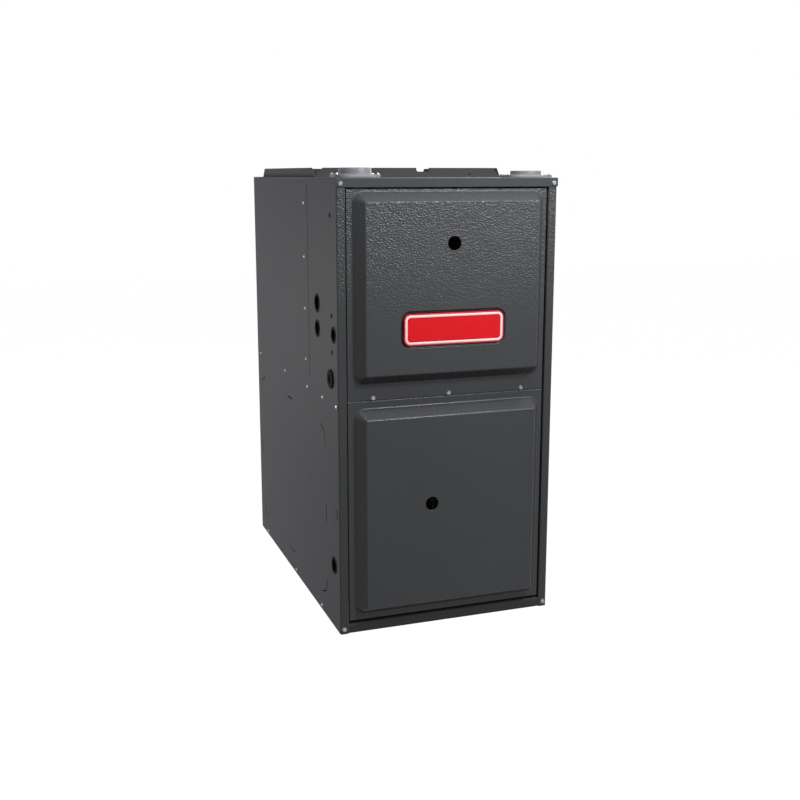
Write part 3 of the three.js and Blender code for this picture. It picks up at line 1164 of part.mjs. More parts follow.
// A double inlet wheel: curved blades between two end rings, with a centre plate on the hub and shaft.
function blowerWheel() {
  const half = WHEEL_WIDTH / 2;
  const inner = WHEEL_RADIUS - BLADE_CHORD;
  const ring = (range) => prism("x", range, circle([0, 0], WHEEL_RADIUS, 22), [circle([0, 0], inner - 2, 22)]);
  const rings = [[-half, -half + RING_WIDTH], [half - RING_WIDTH, half]].map(ring);
  const plate = rod("x", [-1, 1], [0, 0], inner + 3, 22);
  const stations = [[inner, 0], [inner + BLADE_CHORD / 2, 0.085], [WHEEL_RADIUS - 1.6, 0.23]];
  const blades = Array.from({ length: BLADE_COUNT }, (_, i) =>
    prism("x", [-half + 2, half - 2], vane(stations, (2 * Math.PI * i) / BLADE_COUNT, BLADE_THICKNESS)));
  const hub = rod("x", [-HUB_LENGTH, HUB_LENGTH / 2], [0, 0], HUB_RADIUS);
  const shaft = rod("x", [-HUB_LENGTH - 4, BLOWER_MOTOR_LENGTH / 2], [0, 0], SHAFT_RADIUS, 10);
  return join(...rings, plate, hub, shaft, ...blades);
}

// The blower motor sits in the wheel's right half, hollow round the shaft that enters it.
function blowerMotor() {
  const [r, bevel] = [BLOWER_MOTOR_RADIUS, BLOWER_MOTOR_BEVEL];
  const [start, end] = [BLOWER_MOTOR_START, BLOWER_MOTOR_START + BLOWER_MOTOR_LENGTH];
  const bore = SHAFT_RADIUS + 2 * FIT;
  return turned("x", [0, 0], [
    [STATOR_BORE, start + MOTOR_BELL], [bore, start + MOTOR_BELL], [bore, start], [r - bevel, start],
    [r, start + bevel], [r, end - bevel], [r - bevel, end], [0, end], [0, end - MOTOR_BELL],
    [STATOR_BORE, end - MOTOR_BELL],
  ], 18);
}

// A band round the motor with three arms screwed to the housing's side plate.
function motorBracket() {
  const seat = HOUSING_WIDTH / 2 + FIT;
  const inner = BLOWER_MOTOR_RADIUS + 3 * FIT;
  const outer = inner + SHEET;
  const band = prism("x", [seat, seat + BAND_WIDTH], circle([0, 0], outer, 20), [circle([0, 0], inner, 20)]);
  const reach = HOUSING_INLET_RADIUS + BAND_WIDTH / 2;
  const arms = Array.from({ length: ARM_COUNT }, (_, i) => {
    const turn = Math.PI / 2 + (2 * Math.PI * i) / ARM_COUNT;
    return prism("x", [seat, seat + 2], vane([[inner - FIT, 0], [reach, 0]], turn, ARM_WIDTH));
  });
  return join(band, ...arms);
}

// ---------------------------------------------------------------- controls

const controlY = front + CONTROL_FROM_FRONT;
const controlLeft = -halfWidth + CONTROL_MARGIN;
const controlRight = controlLeft + CONTROL_WIDTH;
const boardBottom = CONTROL_BOTTOM + BOARD_RISE;
const boardBack = controlY - SHEET - FIT;

// A panel hung from the deck, with its side edges folded forward round the control board.
function controlBracket() {
  const top = deckUnder - FIT;
  const panel = prism("z", [CONTROL_BOTTOM, top], folded([
    [controlRight, controlY - CONTROL_EDGE], [controlRight, controlY], [controlLeft, controlY],
    [controlLeft, controlY - CONTROL_EDGE],
  ], SHEET, BEND, 1));
  const foot = block([controlLeft + BEND, controlRight - BEND], [controlY - SHEET / 2, controlY + CONTROL_EDGE],
    [top - SHEET, top]);
  return join(panel, foot);
}

// The board on its standoffs, with a row of relays above a terminal block and a plug.
function controlBoard() {
  const left = (controlLeft + controlRight - BOARD_WIDTH) / 2;
  const face = boardBack - BOARD_STANDOFF;
  const at = (u, v) => [left + BOARD_WIDTH * u, boardBottom + BOARD_HEIGHT * v];
  const plate = block([left, left + BOARD_WIDTH], [face, face + BOARD_THICKNESS],
    [boardBottom, boardBottom + BOARD_HEIGHT]);
  const posts = [[0.07, 0.08], [0.93, 0.08], [0.07, 0.92], [0.93, 0.92]].map(([u, v]) =>
    rod("y", [face + 1, boardBack], at(u, v), BOARD_STANDOFF / 3, 6));
  const mounted = (u, v, width, height, rise) => {
    const [x, z] = at(u, v);
    return block([x - width / 2, x + width / 2], [face - rise, face + 1], [z - height / 2, z + height / 2]);
  };
  const relays = Array.from({ length: RELAY_COUNT }, (_, i) =>
    mounted((i + 0.8) / (RELAY_COUNT + 0.6), 0.68, RELAY_SIZE, RELAY_SIZE, RELAY_HEIGHT));
  const terminals = mounted(0.33, 0.14, BOARD_WIDTH * 0.42, RELAY_SIZE / 2, RELAY_HEIGHT * 0.7);
  const plug = mounted(0.77, 0.3, BOARD_WIDTH * 0.26, RELAY_SIZE * 0.6, RELAY_HEIGHT * 0.6);
  return join(plate, ...posts, ...relays, terminals, plug);
}

// The low voltage transformer: laminated core with its winding showing at the front.
function transformer() {
  const s = TRANSFORMER_SIZE;
  const x = controlLeft + s;
  const z = boardBottom + BOARD_HEIGHT + s * 0.4;
  const core = block([x - s / 2, x + s / 2], [boardBack - s * 0.7, boardBack], [z, z + s * 0.84]);
  const winding = prism("y", [boardBack - s * 0.9, boardBack - s * 0.6],
    roundedRectangle([x - s * 0.3, x + s * 0.3], [z + s * 0.16, z + s * 0.68], s / 10, 2));
  return join(core, winding);
}

const plungerPlace = [DOOR_SWITCH_X, DECK_HEIGHT - PLUNGER_DROP];
const doorSwitchFront = front + RETURN + BEND + SHEET + FIT;

// The door interlock switch under the deck's nose; its plunger rests against the lower door.
function doorSwitch() {
  const half = DOOR_SWITCH_WIDTH / 2;
  const top = deckUnder - FIT;
  const body = block([DOOR_SWITCH_X - half, DOOR_SWITCH_X + half],
    [doorSwitchFront + 4, doorSwitchFront + DOOR_SWITCH_WIDTH], [top - DOOR_SWITCH_HEIGHT, top]);
  const sleeve = rod("y", [doorSwitchFront, doorSwitchFront + 5], plungerPlace, PLUNGER_RADIUS + 2.5);
  const bore = rod("y", [doorSwitchFront - 1, doorSwitchFront + DOOR_SWITCH_WIDTH - 4], plungerPlace,
    PLUNGER_RADIUS + FIT);
  return cut(join(body, sleeve), bore);
}

function doorPlunger() {
  const reach = [doorFace + SHEET + FIT, doorSwitchFront + DOOR_SWITCH_WIDTH / 2];
  return rod("y", reach, plungerPlace, PLUNGER_RADIUS, 10);
}

// The box behind the power entry hole where the supply is wired.
function junctionBox() {
  const y = front + POWER_FROM_FRONT;
  const half = JUNCTION_SIZE / 2;
  const [x0, x1] = [-innerX, -innerX + 44];
  const y0 = front + RETURN + 3;
  const shell = block([x0, x1], [y0, y + half], [POWER_HEIGHT - half, POWER_HEIGHT + half]);
  const hollow = block([x0 + SHEET, x1 - SHEET], [y0 - 1, y + half - SHEET],
    [POWER_HEIGHT - half + SHEET, POWER_HEIGHT + half - SHEET]);
  const entry = rod("x", [x0 - 1, x0 + 5], [y, POWER_HEIGHT], POWER_HOLE_RADIUS);
  return cut(shell, hollow, entry);
}

// ---------------------------------------------------------------- the furnace

const burnerRow = burnerPlaces.map((x, i) =>
  piece(`burner_${i + 1}`, burner(), finishes.aluminised, [x, burnerBack, burnerHeight]));
const tubeRow = burnerPlaces.map((x, i) =>
  piece(`primary_tube_${i + 1}`, primaryTube(), finishes.aluminised, [x, 0, 0]));

const furnace = assembly([0, 0, 0],
  piece("cabinet_wrap", cabinetWrap(), finishes.paint),
  piece("top_panel", topPanel(), finishes.paint),
  piece("base_pan", basePan(), finishes.paint),
  piece("blower_deck", blowerDeck(), finishes.galvanised),
  piece("vestibule_panel", vestibulePanel(), finishes.galvanised),
  piece("liner_board", linerBoard(), finishes.foil),
  ...cornerScrews(),
  assembly([0, 0, 0],
    piece("upper_door", upperDoor(), finishes.embossed),
    piece("badge_plate", badgePlate(), finishes.red),
    ...doorScrews()),
  piece("lower_door", lowerDoor(), finishes.embossed),
  piece("vent_collar", collar(VENT_COLLAR_WIDTH, VENT_COLLAR_BASE, VENT_COLLAR_HEIGHT), finishes.pipe,
    [...vent, CABINET_HEIGHT + FIT]),
  piece("intake_collar", collar(INTAKE_COLLAR_WIDTH, INTAKE_COLLAR_BASE, INTAKE_COLLAR_HEIGHT), finishes.pipe,
    [...intake, CABINET_HEIGHT + FIT]),
  piece("vent_pipe", ventPipe(), finishes.pipe),
  piece("vent_coupling", ventCoupling(), finishes.rubber),
  piece("burner_tray", burnerTray(), finishes.galvanised),
  ...burnerRow,
  piece("gas_manifold", gasManifold(), finishes.brass),
  piece("gas_valve", gasValve(), finishes.aluminised),
  piece("gas_valve_lever", valveLever(), finishes.red),
  piece("igniter", burnerProbe(2.2), finishes.ceramic, [burnerPlaces.at(-1), 0, burnerHeight]),
  piece("flame_sensor", burnerProbe(1.6), finishes.stainless, [burnerPlaces[0], 0, burnerHeight]),
  assembly(rolloutPlace,
    piece("rollout_switch", rolloutSwitch(), finishes.blackPlastic),
    piece("rollout_reset_button", resetButton(), finishes.red)),
  ...tubeRow,
  piece("rear_header", rearHeader(), finishes.aluminised),
  piece("secondary_coil", secondaryCoil(), finishes.stainless),
  piece("collector_box", collectorBox(), finishes.blackPlastic),
  assembly(inducerPlace,
    piece("inducer_housing", inducerHousing(), finishes.blackPlastic),
    piece("inducer_wheel", inducerWheel(), finishes.blackPlastic),
    piece("inducer_motor", inducerMotor(), finishes.motor),
    piece("inducer_cooling_fan", coolingFan(), finishes.ivory)),
  piece("pressure_switch_left", pressureSwitch(), finishes.ivory, switchPlaces[0]),
  piece("pressure_switch_right", pressureSwitch(), finishes.ivory, switchPlaces[1]),
  piece("pressure_hose_left", pressureHose(0), finishes.rubber),
  piece("pressure_hose_right", pressureHose(1), finishes.rubber),
  piece("condensate_trap", condensateTrap(), finishes.blackPlastic),
  piece("drain_tube", drainTube(), finishes.greyPlastic),
  piece("drain_grommet", drainGrommet(), finishes.greyPlastic),
  assembly([0, BLOWER_Y, DECK_HEIGHT - BLOWER_DROP],
    piece("blower_housing", blowerHousing(), finishes.galvanised),
    piece("blower_wheel", blowerWheel(), finishes.galvanised),
    piece("blower_motor", blowerMotor(), finishes.motor),
    piece("motor_bracket", motorBracket(), finishes.zinc)),
  piece("control_bracket", controlBracket(), finishes.galvanised),
  piece("control_board", controlBoard(), finishes.board),
  piece("transformer", transformer(), finishes.motor),
  piece("door_switch", doorSwitch(), finishes.blackPlastic),
  piece("door_switch_plunger", doorPlunger(), finishes.ivory),
  piece("junction_box", junctionBox(), finishes.galvanised),
);

export default furnace;
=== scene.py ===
# %% [markdown]
# # A forced air gas furnace
#
# The furnace is a tall painted steel cabinet with two stamped doors. Its solids come packed from the CAD
# part, with a name for every piece and a body for everything that moves. This lesson dresses them: some
# solids only need a finish, and others, such as the doors, the badge and the screws, are built again here
# with rounder edges. Every new piece rides on the body of the solid that it stands for, so the doors still
# come off and the fans still turn.

import json
import math

import bmesh
import bpy
from mathutils import Matrix, Vector


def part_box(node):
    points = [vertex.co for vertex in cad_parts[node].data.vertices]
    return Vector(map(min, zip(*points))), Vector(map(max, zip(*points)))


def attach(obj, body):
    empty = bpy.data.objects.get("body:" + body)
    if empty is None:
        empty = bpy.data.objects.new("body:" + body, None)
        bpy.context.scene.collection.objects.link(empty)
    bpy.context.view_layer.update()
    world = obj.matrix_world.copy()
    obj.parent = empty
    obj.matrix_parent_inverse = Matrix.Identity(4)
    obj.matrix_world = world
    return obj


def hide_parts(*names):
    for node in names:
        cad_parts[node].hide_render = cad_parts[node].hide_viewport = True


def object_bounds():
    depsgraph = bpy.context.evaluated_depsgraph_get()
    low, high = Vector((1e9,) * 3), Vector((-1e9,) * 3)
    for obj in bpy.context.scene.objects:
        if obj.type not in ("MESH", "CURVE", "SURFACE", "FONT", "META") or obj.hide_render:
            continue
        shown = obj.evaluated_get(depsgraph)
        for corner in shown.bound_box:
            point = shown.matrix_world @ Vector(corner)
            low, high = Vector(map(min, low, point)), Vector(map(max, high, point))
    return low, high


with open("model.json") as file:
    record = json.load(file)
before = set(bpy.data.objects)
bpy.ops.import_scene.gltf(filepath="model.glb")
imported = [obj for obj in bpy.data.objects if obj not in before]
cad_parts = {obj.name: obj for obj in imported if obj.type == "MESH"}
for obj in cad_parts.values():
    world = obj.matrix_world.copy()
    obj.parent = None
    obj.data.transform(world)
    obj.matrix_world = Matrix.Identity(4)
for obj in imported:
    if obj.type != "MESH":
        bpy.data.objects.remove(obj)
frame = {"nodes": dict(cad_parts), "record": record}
nodes = frame["nodes"]
cad_box = [list(corner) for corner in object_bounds()]
scene = bpy.context.scene
MM = 0.001  # one millimetre in the frame's metres

# %% [markdown]
# The camera stands to the left of the furnace, about level with its top panel, and looks down at it a
# little. Its place, turn and focal length were worked out from the cabinet's corners, so the render lines
# up with the photograph. The shift only moves the picture inside the square frame.

# %% Camera
CAMERA_PLACE = (-0.7704, -2.2522, 0.8832)
CAMERA_PITCH_DOWN = 0.1936
CAMERA_YAW_RIGHT = 0.3389
CAMERA_LENS = 48.5
CAMERA_SHIFT = (0.00125, -0.01856)

camera_data = bpy.data.cameras.new("photo_camera")
camera_data.lens = CAMERA_LENS
camera_data.shift_x, camera_data.shift_y = CAMERA_SHIFT
camera = bpy.data.objects.new("photo_camera", camera_data)
camera.location = CAMERA_PLACE
camera.rotation_euler = (math.pi / 2 - CAMERA_PITCH_DOWN, 0, -CAMERA_YAW_RIGHT)
scene.collection.objects.link(camera)
scene.camera = camera
print("camera distance to the front frame:", round(-CAMERA_PLACE[1] + cad_box[0][1], 3), "m")

# %% [markdown]
# Two small helpers serve every material. One adds a shader node with its settings and its links, and the
# other turns a hex colour, as on a paint card, into the linear values that shaders use.


# %% Shader helpers
def add(tree, kind, inputs=None, **settings):
    """Adds one shader node. An input is a plain value, or a (node, output name) pair to link from."""
    node = tree.nodes.new("ShaderNode" + kind)
    for key, value in settings.items():
        setattr(node, key, value)
    for key, value in (inputs or {}).items():
        if isinstance(value, tuple) and isinstance(value[0], bpy.types.Node):
            tree.links.new(value[0].outputs[value[1]], node.inputs[key])
        else:
            node.inputs[key].default_value = value
    return node


def linear(code, alpha=1.0):
    """An sRGB hex colour as the linear values that shaders use."""
    parts = [int(code[i : i + 2], 16) / 255 for i in (1, 3, 5)]
    return tuple(p / 12.92 if p <= 0.04045 else ((p + 0.055) / 1.055) ** 2.4 for p in parts) + (alpha,)


print("charcoal in linear values:", [round(v, 3) for v in linear("#414245")[:3]])

# %% [markdown]
# ## The studio
#
# A furnace like this is photographed in a white studio. The world is white for the camera and for
# reflections, but it lights the object only gently, so that what faces down or aside stays dark.

# %% World
scene.view_settings.view_transform = "Standard"
WORLD_LIGHT = 0.11
WHITE = (1, 1, 1, 1)


def shows_backdrop(tree):
    """1 for the rays that show the backdrop: those of the camera, of reflections and through glass."""
    rays = add(tree, "LightPath")
    seen = add(tree, "Math", {0: (rays, "Is Camera Ray"), 1: (rays, "Is Glossy Ray")}, operation="MAXIMUM")
    return add(tree, "Math", {0: (seen, 0), 1: (rays, "Is Transmission Ray")}, operation="MAXIMUM")


world = bpy.data.worlds.new("white_studio")
world.use_nodes = True
scene.world = world
sky = world.node_tree
sky.nodes.clear()
soft = add(sky, "Background", {"Color": WHITE, "Strength": WORLD_LIGHT})
white = add(sky, "Background", {"Color": WHITE, "Strength": 1.0})
both = add(sky, "MixShader", {0: (shows_backdrop(sky), 0), 1: (soft, 0), 2: (white, 0)})
add(sky, "OutputWorld", {"Surface": (both, 0)})
print("world light:", WORLD_LIGHT)

# %% [markdown]
# The floor is white vinyl. Most of its look is plain white, and the rest is shading, which keeps the
# object's shadow. What it gives back to the object's underside is grey.

# %% Floor
FLOOR_SIZE = 14.0
FLOOR_SHADOW = 0.22  # share of the floor's look that shading gives; the rest is plain white
FLOOR_GREY = 0.22  # what the floor gives back to the object's underside
FLOOR_WHITE = 1.27  # brings the floor to white where the object casts no shadow
floor_mesh = bpy.data.meshes.new("studio_floor")
half = FLOOR_SIZE / 2
corners = [(x * half, y * half, -MM / 2) for x, y in ((-1, -1), (1, -1), (1, 1), (-1, 1))]
floor_mesh.from_pydata(corners, [], [(0, 1, 2, 3)])
floor = bpy.data.objects.new("studio_floor", floor_mesh)
scene.collection.objects.link(floor)
floor_paint = bpy.data.materials.new("white_studio_vinyl")
floor_paint.use_nodes = True
tree = floor_paint.node_tree
tree.nodes.clear()
share = add(tree, "Math", {0: (shows_backdrop(tree), 0), 1: 1 - FLOOR_SHADOW}, operation="MULTIPLY")
shaded = add(tree, "BsdfDiffuse", {"Color": (FLOOR_GREY, FLOOR_GREY, FLOOR_GREY, 1)})
plain = add(tree, "Emission", {"Color": WHITE, "Strength": FLOOR_WHITE})
both = add(tree, "MixShader", {0: (share, 0), 1: (shaded, 0), 2: (plain, 0)})
add(tree, "OutputMaterial", {"Surface": (both, 0)})
floor_mesh.materials.append(floor_paint)
print("floor:", FLOOR_SIZE, "m square")

# %% [markdown]
# Five soft lamps light the furnace. A wide one at the front right carries most of the light. A small one
# high in front draws the bright lines on the doors' folds and the glints of their grain, and a long strip
# close above the front grazes them. One behind the left side lights that side and not the slopes beside the
# front, and one at the rear right is there for the back and the right side. Each has a place, a point to
# aim at, a size in metres and a power in watts.


# %% Lamps
def soft_lamp(name, place, aim, size, power):
    data = bpy.data.lights.new(name, "AREA")
    data.shape = "RECTANGLE"
    data.size, data.size_y = size
    data.energy = power
    lamp = bpy.data.objects.new(name, data)
    lamp.location = place
    lamp.rotation_euler = (Vector(aim) - Vector(place)).to_track_quat("-Z", "Y").to_euler()
    scene.collection.objects.link(lamp)


soft_lamp("key_lamp", (0.42, -1.35, 1.52), (0, -0.38, 0.62), (0.34, 0.2), 16)
soft_lamp("grazing_strip", (0.05, -0.62, 1.3), (0.05, -0.5, 0.6), (1.1, 0.1), 6)
soft_lamp("front_softbox", (1.4, -2.5, 1.7), (0, -0.3, 0.4), (1.2, 1.2), 33)
soft_lamp("rear_left_softbox", (-1.9, 1.5, 0.35), (-0.2, 0, 0.2), (1.4, 0.6), 19)
soft_lamp("rear_right_softbox", (1.5, 2.0, 1.1), (0.1, 0.2, 0.4), (1.2, 1.2), 26)

# %% [markdown]
# ## Finishes
#
# Every finish is named for what it is on a real furnace, and its grain is drawn at a real size. Each one is
# a Principled shader with a little unevenness in colour, roughness and surface, because even new sheet
# metal is never perfectly flat. One function holds what they share: object coordinates, a cloudy tone and a
# fine bump.


# %% The shared recipe
def grain_at(tree, where, size_mm, detail=3.0, **settings):
    """A noise whose lumps are about size_mm across. Its scale is lumps to the metre, the frame's unit."""
    return add(tree, "TexNoise", {"Vector": where, "Scale": 1 / (size_mm * MM), "Detail": detail}, **settings)


def finish(name, dark, light, roughness, metallic=0.0, cloud_mm=60, bump_mm=1.5, bump_height_mm=0.02,
           spread=0.05):
    """A finish whose colour drifts from dark to light in soft clouds, over a fine bump."""
    material = bpy.data.materials.new(name)
    material.use_nodes = True
    tree = material.node_tree
    shader = tree.nodes["Principled BSDF"]
    shader.inputs["Metallic"].default_value = metallic
    where = (add(tree, "TexCoord"), "Object")
    cloud = grain_at(tree, where, cloud_mm)
    tone = add(tree, "Mix", {"Factor": (cloud, "Fac"), "A": linear(dark), "B": linear(light)},
               data_type="RGBA")
    tree.links.new(tone.outputs["Result"], shader.inputs["Base Color"])
    fine = grain_at(tree, where, bump_mm, 4.0)
    rough = add(tree, "MapRange", {"Value": (fine, "Fac"), "To Min": roughness - spread,
                                   "To Max": roughness + spread})
    tree.links.new(rough.outputs["Result"], shader.inputs["Roughness"])
    bump = add(tree, "Bump", {"Height": (fine, "Fac"), "Strength": 1.0, "Distance": bump_height_mm * MM})
    tree.links.new(bump.outputs["Normal"], shader.inputs["Normal"])
    return material


def parts_of(material):
    """The tree, its shader and a coordinate socket, for a finish that goes further than the recipe."""
    tree = material.node_tree
    where = next(n for n in tree.nodes if n.bl_idname == "ShaderNodeTexCoord")
    return tree, tree.nodes["Principled BSDF"], (where, "Object")


# %% [markdown]
# The cabinet is pre-painted steel: a baked polyester enamel, charcoal and nearly matt, with the faint
# orange peel that rolled-on paint keeps. It is a dielectric coat over metal, so the shader isn't metallic.
# Its binder is loaded with matting silica, which scatters most of the mirror-like part of the reflection:
# the specular level is set low for that. The faces of the rails above and below the doors that look to the
# front take a darker copy of the same enamel, which is painted shade.

# %% Cabinet enamel
def enamel(name, dark, light, roughness, specular):
    """A matted coil-coating enamel."""
    paint = finish(name, dark, light, roughness, cloud_mm=140, bump_mm=1.8, bump_height_mm=0.012, spread=0.04)
    paint.node_tree.nodes["Principled BSDF"].inputs["Specular IOR Level"].default_value = specular
    return paint


cabinet_enamel = enamel("charcoal_polyester_enamel", "#414245", "#46474a", 0.5, 0.04)
# painted shade: a darker copy of the cabinet enamel, for the rails' front faces
rail_painted_shade_enamel = enamel("front_rail_painted_shade_enamel", "#353638", "#3a3b3d", 0.5, 0.06)
print("enamels:", cabinet_enamel.name, rail_painted_shade_enamel.name)

# %% [markdown]
# The doors and the stiles beside them are made from sheet that was first rolled between embossing
# cylinders, which gives it a leather grain: low round pebbles with creases between them. Warped Voronoi
# cells make the pebbles, each one a dome that falls off from its middle, a little longer along a slant than
# across it. Stamping stretches the grain flat on the slopes, so it fades where the surface turns away from
# the front. The pebbles are about 3 mm across. The grain is deepest at the top of the upper door and runs
# out to a faint one on the lower door.

# %% Embossed enamel
PEBBLE_MM = 3.1
PEBBLE_STRETCH = 1.35  # length of a pebble to its width
PEBBLE_SLANT = math.radians(35)  # its long axis, up to the right
FULL_ABOVE = 0.8  # metres above the floor, where the grain has its whole depth
FAINT_BELOW = 0.58
FAINT_SHARE = 0.16
WARP_SCALE = 0.6  # lumps of the warp to a pebble
WARP_REACH = 1.4
DOME_EDGES = (0.1, 0.75)  # where a pebble starts to fall off, and where it ends
SLOPE_EDGES = (0.75, 0.97)  # how far forward the surface looks, where the grain starts and where it is full


def emboss(material, depth_mm, kept_on_slopes):
    """Adds the leather grain to a finish, in full where the surface faces forward."""
    tree, shader, where = parts_of(material)
    per_metre = 1 / (PEBBLE_MM * MM)
    lie = add(tree, "Mapping", {"Vector": where, "Rotation": (0, PEBBLE_SLANT, 0),
                                "Scale": (per_metre / PEBBLE_STRETCH, per_metre, per_metre)})
    warp = add(tree, "TexNoise", {"Vector": (lie, "Vector"), "Scale": WARP_SCALE, "Detail": 2.0})
    shifted = add(tree, "VectorMath", {0: (warp, "Color"), "Scale": WARP_REACH}, operation="SCALE")
    moved = add(tree, "VectorMath", {0: (lie, "Vector"), 1: (shifted, "Vector")}, operation="ADD")
    pebbles = add(tree, "TexVoronoi", {"Vector": (moved, "Vector"), "Scale": 1.0, "Smoothness": 0.35},
                  feature="SMOOTH_F1")
    dome = add(tree, "MapRange", {"Value": (pebbles, "Distance"), "From Min": DOME_EDGES[0],
                                  "From Max": DOME_EDGES[1], "To Min": 1.0, "To Max": 0.0},
               interpolation_type="SMOOTHSTEP")
    turned = add(tree, "SeparateXYZ", {0: (where[0], "Normal")})
    ahead = add(tree, "Math", {0: (turned, "Y"), 1: -1.0}, operation="MULTIPLY")
    kept = add(tree, "MapRange", {"Value": (ahead, 0), "From Min": SLOPE_EDGES[0], "From Max": SLOPE_EDGES[1],
                                  "To Min": kept_on_slopes})
    place = add(tree, "SeparateXYZ", {0: where})
    rise = add(tree, "MapRange", {"Value": (place, "Z"), "From Min": FAINT_BELOW, "From Max": FULL_ABOVE,
                                  "To Min": FAINT_SHARE})
    depth = add(tree, "Math", {0: (rise, "Result"), 1: (kept, "Result")}, operation="MULTIPLY")
    height = add(tree, "Math", {0: (dome, "Result"), 1: (depth, 0)}, operation="MULTIPLY")
    grain = add(tree, "Bump", {"Height": (height, 0), "Strength": 1.0, "Distance": depth_mm * MM,
                               "Normal": (tree.nodes["Bump"], "Normal")})
    tree.links.new(grain.outputs["Normal"], shader.inputs["Normal"])


GRAIN_DEPTH_MM = 0.75
door_enamel = enamel("leather_embossed_enamel", "#323335", "#37383a", 0.27, 0.25)
frame_enamel = enamel("embossed_frame_enamel", "#303132", "#353637", 0.3, 0.22)
emboss(door_enamel, GRAIN_DEPTH_MM, kept_on_slopes=0.25)
emboss(frame_enamel, GRAIN_DEPTH_MM, kept_on_slopes=0.0)
print("leather grain:", PEBBLE_MM, "mm pebbles on the doors and the stiles")

# %% [markdown]
# Inside, most sheet is hot dip galvanised. Its zinc freezes into flat crystals, the spangle, each a
# slightly different grey. Voronoi cells with a random grey each give that, at about 9 mm across. The
# exchanger's steel is aluminised, which is duller and has no spangle, and the coil is stainless.

# %% Bare metals
SPANGLE_MM = 9
galvanised = finish("galvanised_steel", "#8f9496", "#a7abad", 0.42, metallic=0.9, cloud_mm=30, bump_mm=2.5,
                    bump_height_mm=0.008, spread=0.06)
tree, shader, where = parts_of(galvanised)
crystals = add(tree, "TexVoronoi", {"Vector": where, "Scale": 1 / (SPANGLE_MM * MM)})
grey = add(tree, "SeparateColor", {0: (crystals, "Color")})
tone = add(tree, "Mix", {"Factor": (grey, "Red"), "A": linear("#868b8e"), "B": linear("#b1b6b8")},
           data_type="RGBA")
tree.links.new(tone.outputs["Result"], shader.inputs["Base Color"])
crystal_rough = add(tree, "MapRange", {"Value": (grey, "Green"), "To Min": 0.32, "To Max": 0.5})
tree.links.new(crystal_rough.outputs["Result"], shader.inputs["Roughness"])

aluminised = finish("aluminised_steel", "#7d7e7b", "#8f908d", 0.5, metallic=0.9, cloud_mm=25, bump_mm=1.2,
                    bump_height_mm=0.015, spread=0.08)
stainless = finish("mill_finish_stainless", "#9b9ea0", "#abadaf", 0.3, metallic=1.0, cloud_mm=40, bump_mm=0.9)
cast_aluminium = finish("die_cast_aluminium", "#a2a4a5", "#b4b6b7", 0.48, metallic=0.95, cloud_mm=18,
                        bump_mm=0.7, bump_height_mm=0.03)
zinc_plate = finish("bright_zinc_plate", "#94979a", "#a9acaf", 0.26, metallic=1.0, cloud_mm=4, bump_mm=0.5,
                    bump_height_mm=0.006)
iron_pipe = finish("black_iron_pipe", "#2b2a29", "#3a3836", 0.55, metallic=0.4, cloud_mm=15, bump_mm=0.8,
                   bump_height_mm=0.04, spread=0.1)
foil = finish("foil_facing", "#b9bdbf", "#c9cccd", 0.32, metallic=0.95, cloud_mm=22, bump_mm=7,
              bump_height_mm=0.25, spread=0.08)
print("metals:", len([galvanised, aluminised, stainless, cast_aluminium, zinc_plate, iron_pipe, foil]))

# %% [markdown]
# The plastics, rubbers and the motor's enamel differ mostly in colour and gloss. PVC pipe is a smooth cool
# grey, the badge is glossy red acrylic with a pale raised rim, and mouldings inside are black glass-filled
# nylon or ivory ABS.

# %% Plastics, rubber, enamel and board
pvc_grey = finish("grey_pvc", "#57595c", "#636568", 0.4, cloud_mm=50, bump_mm=1.2, bump_height_mm=0.008)
badge_red = finish("red_acrylic", "#bd0c16", "#c7111b", 0.3, cloud_mm=70, bump_mm=2, bump_height_mm=0.003,
                   spread=0.02)
badge_rim_paint = finish("pale_printed_rim", "#dcbabc", "#e4c6c8", 0.3, cloud_mm=20, bump_mm=1,
                         bump_height_mm=0.004)
black_rubber = finish("black_nitrile_rubber", "#101010", "#181818", 0.72, cloud_mm=12, bump_mm=0.8)
for moulded, specular in ((pvc_grey, 0.2), (badge_red, 0.2), (badge_rim_paint, 0.2), (black_rubber, 0.03)):
    moulded.node_tree.nodes["Principled BSDF"].inputs["Specular IOR Level"].default_value = specular
black_nylon = finish("glass_filled_nylon", "#1c1c1e", "#262629", 0.48, cloud_mm=20, bump_mm=0.9,
                     bump_height_mm=0.03)
ivory_abs = finish("ivory_abs", "#d9d3bf", "#e4dfcd", 0.4, cloud_mm=25, bump_mm=1.0, bump_height_mm=0.01)
grey_hose = finish("grey_pvc_tube", "#808386", "#8d9093", 0.42, cloud_mm=14, bump_mm=1.0)
red_abs = finish("red_abs", "#b81d22", "#c8252a", 0.34, cloud_mm=9, bump_mm=0.8, bump_height_mm=0.008)
motor_enamel = finish("black_motor_enamel", "#232427", "#2e2f33", 0.4, metallic=0.2, cloud_mm=20, bump_mm=1.4,
                      bump_height_mm=0.03)
ceramic = finish("unglazed_ceramic", "#d2cdbe", "#dfdbcf", 0.7, cloud_mm=6, bump_mm=0.6, bump_height_mm=0.03)
board_mask = finish("solder_mask_board", "#174a2f", "#1f5c3b", 0.38, cloud_mm=12, bump_mm=1.0,
                    bump_height_mm=0.02)
print("finishes in all:", len(bpy.data.materials))

# %% [markdown]
# Each solid takes the finish of its slot in the record. The faces of the wrap and the rails that look to
# the front take their own. Flat faces stay flat and round ones are shaded smooth: an edge counts as sharp
# when its faces meet at more than a set angle.

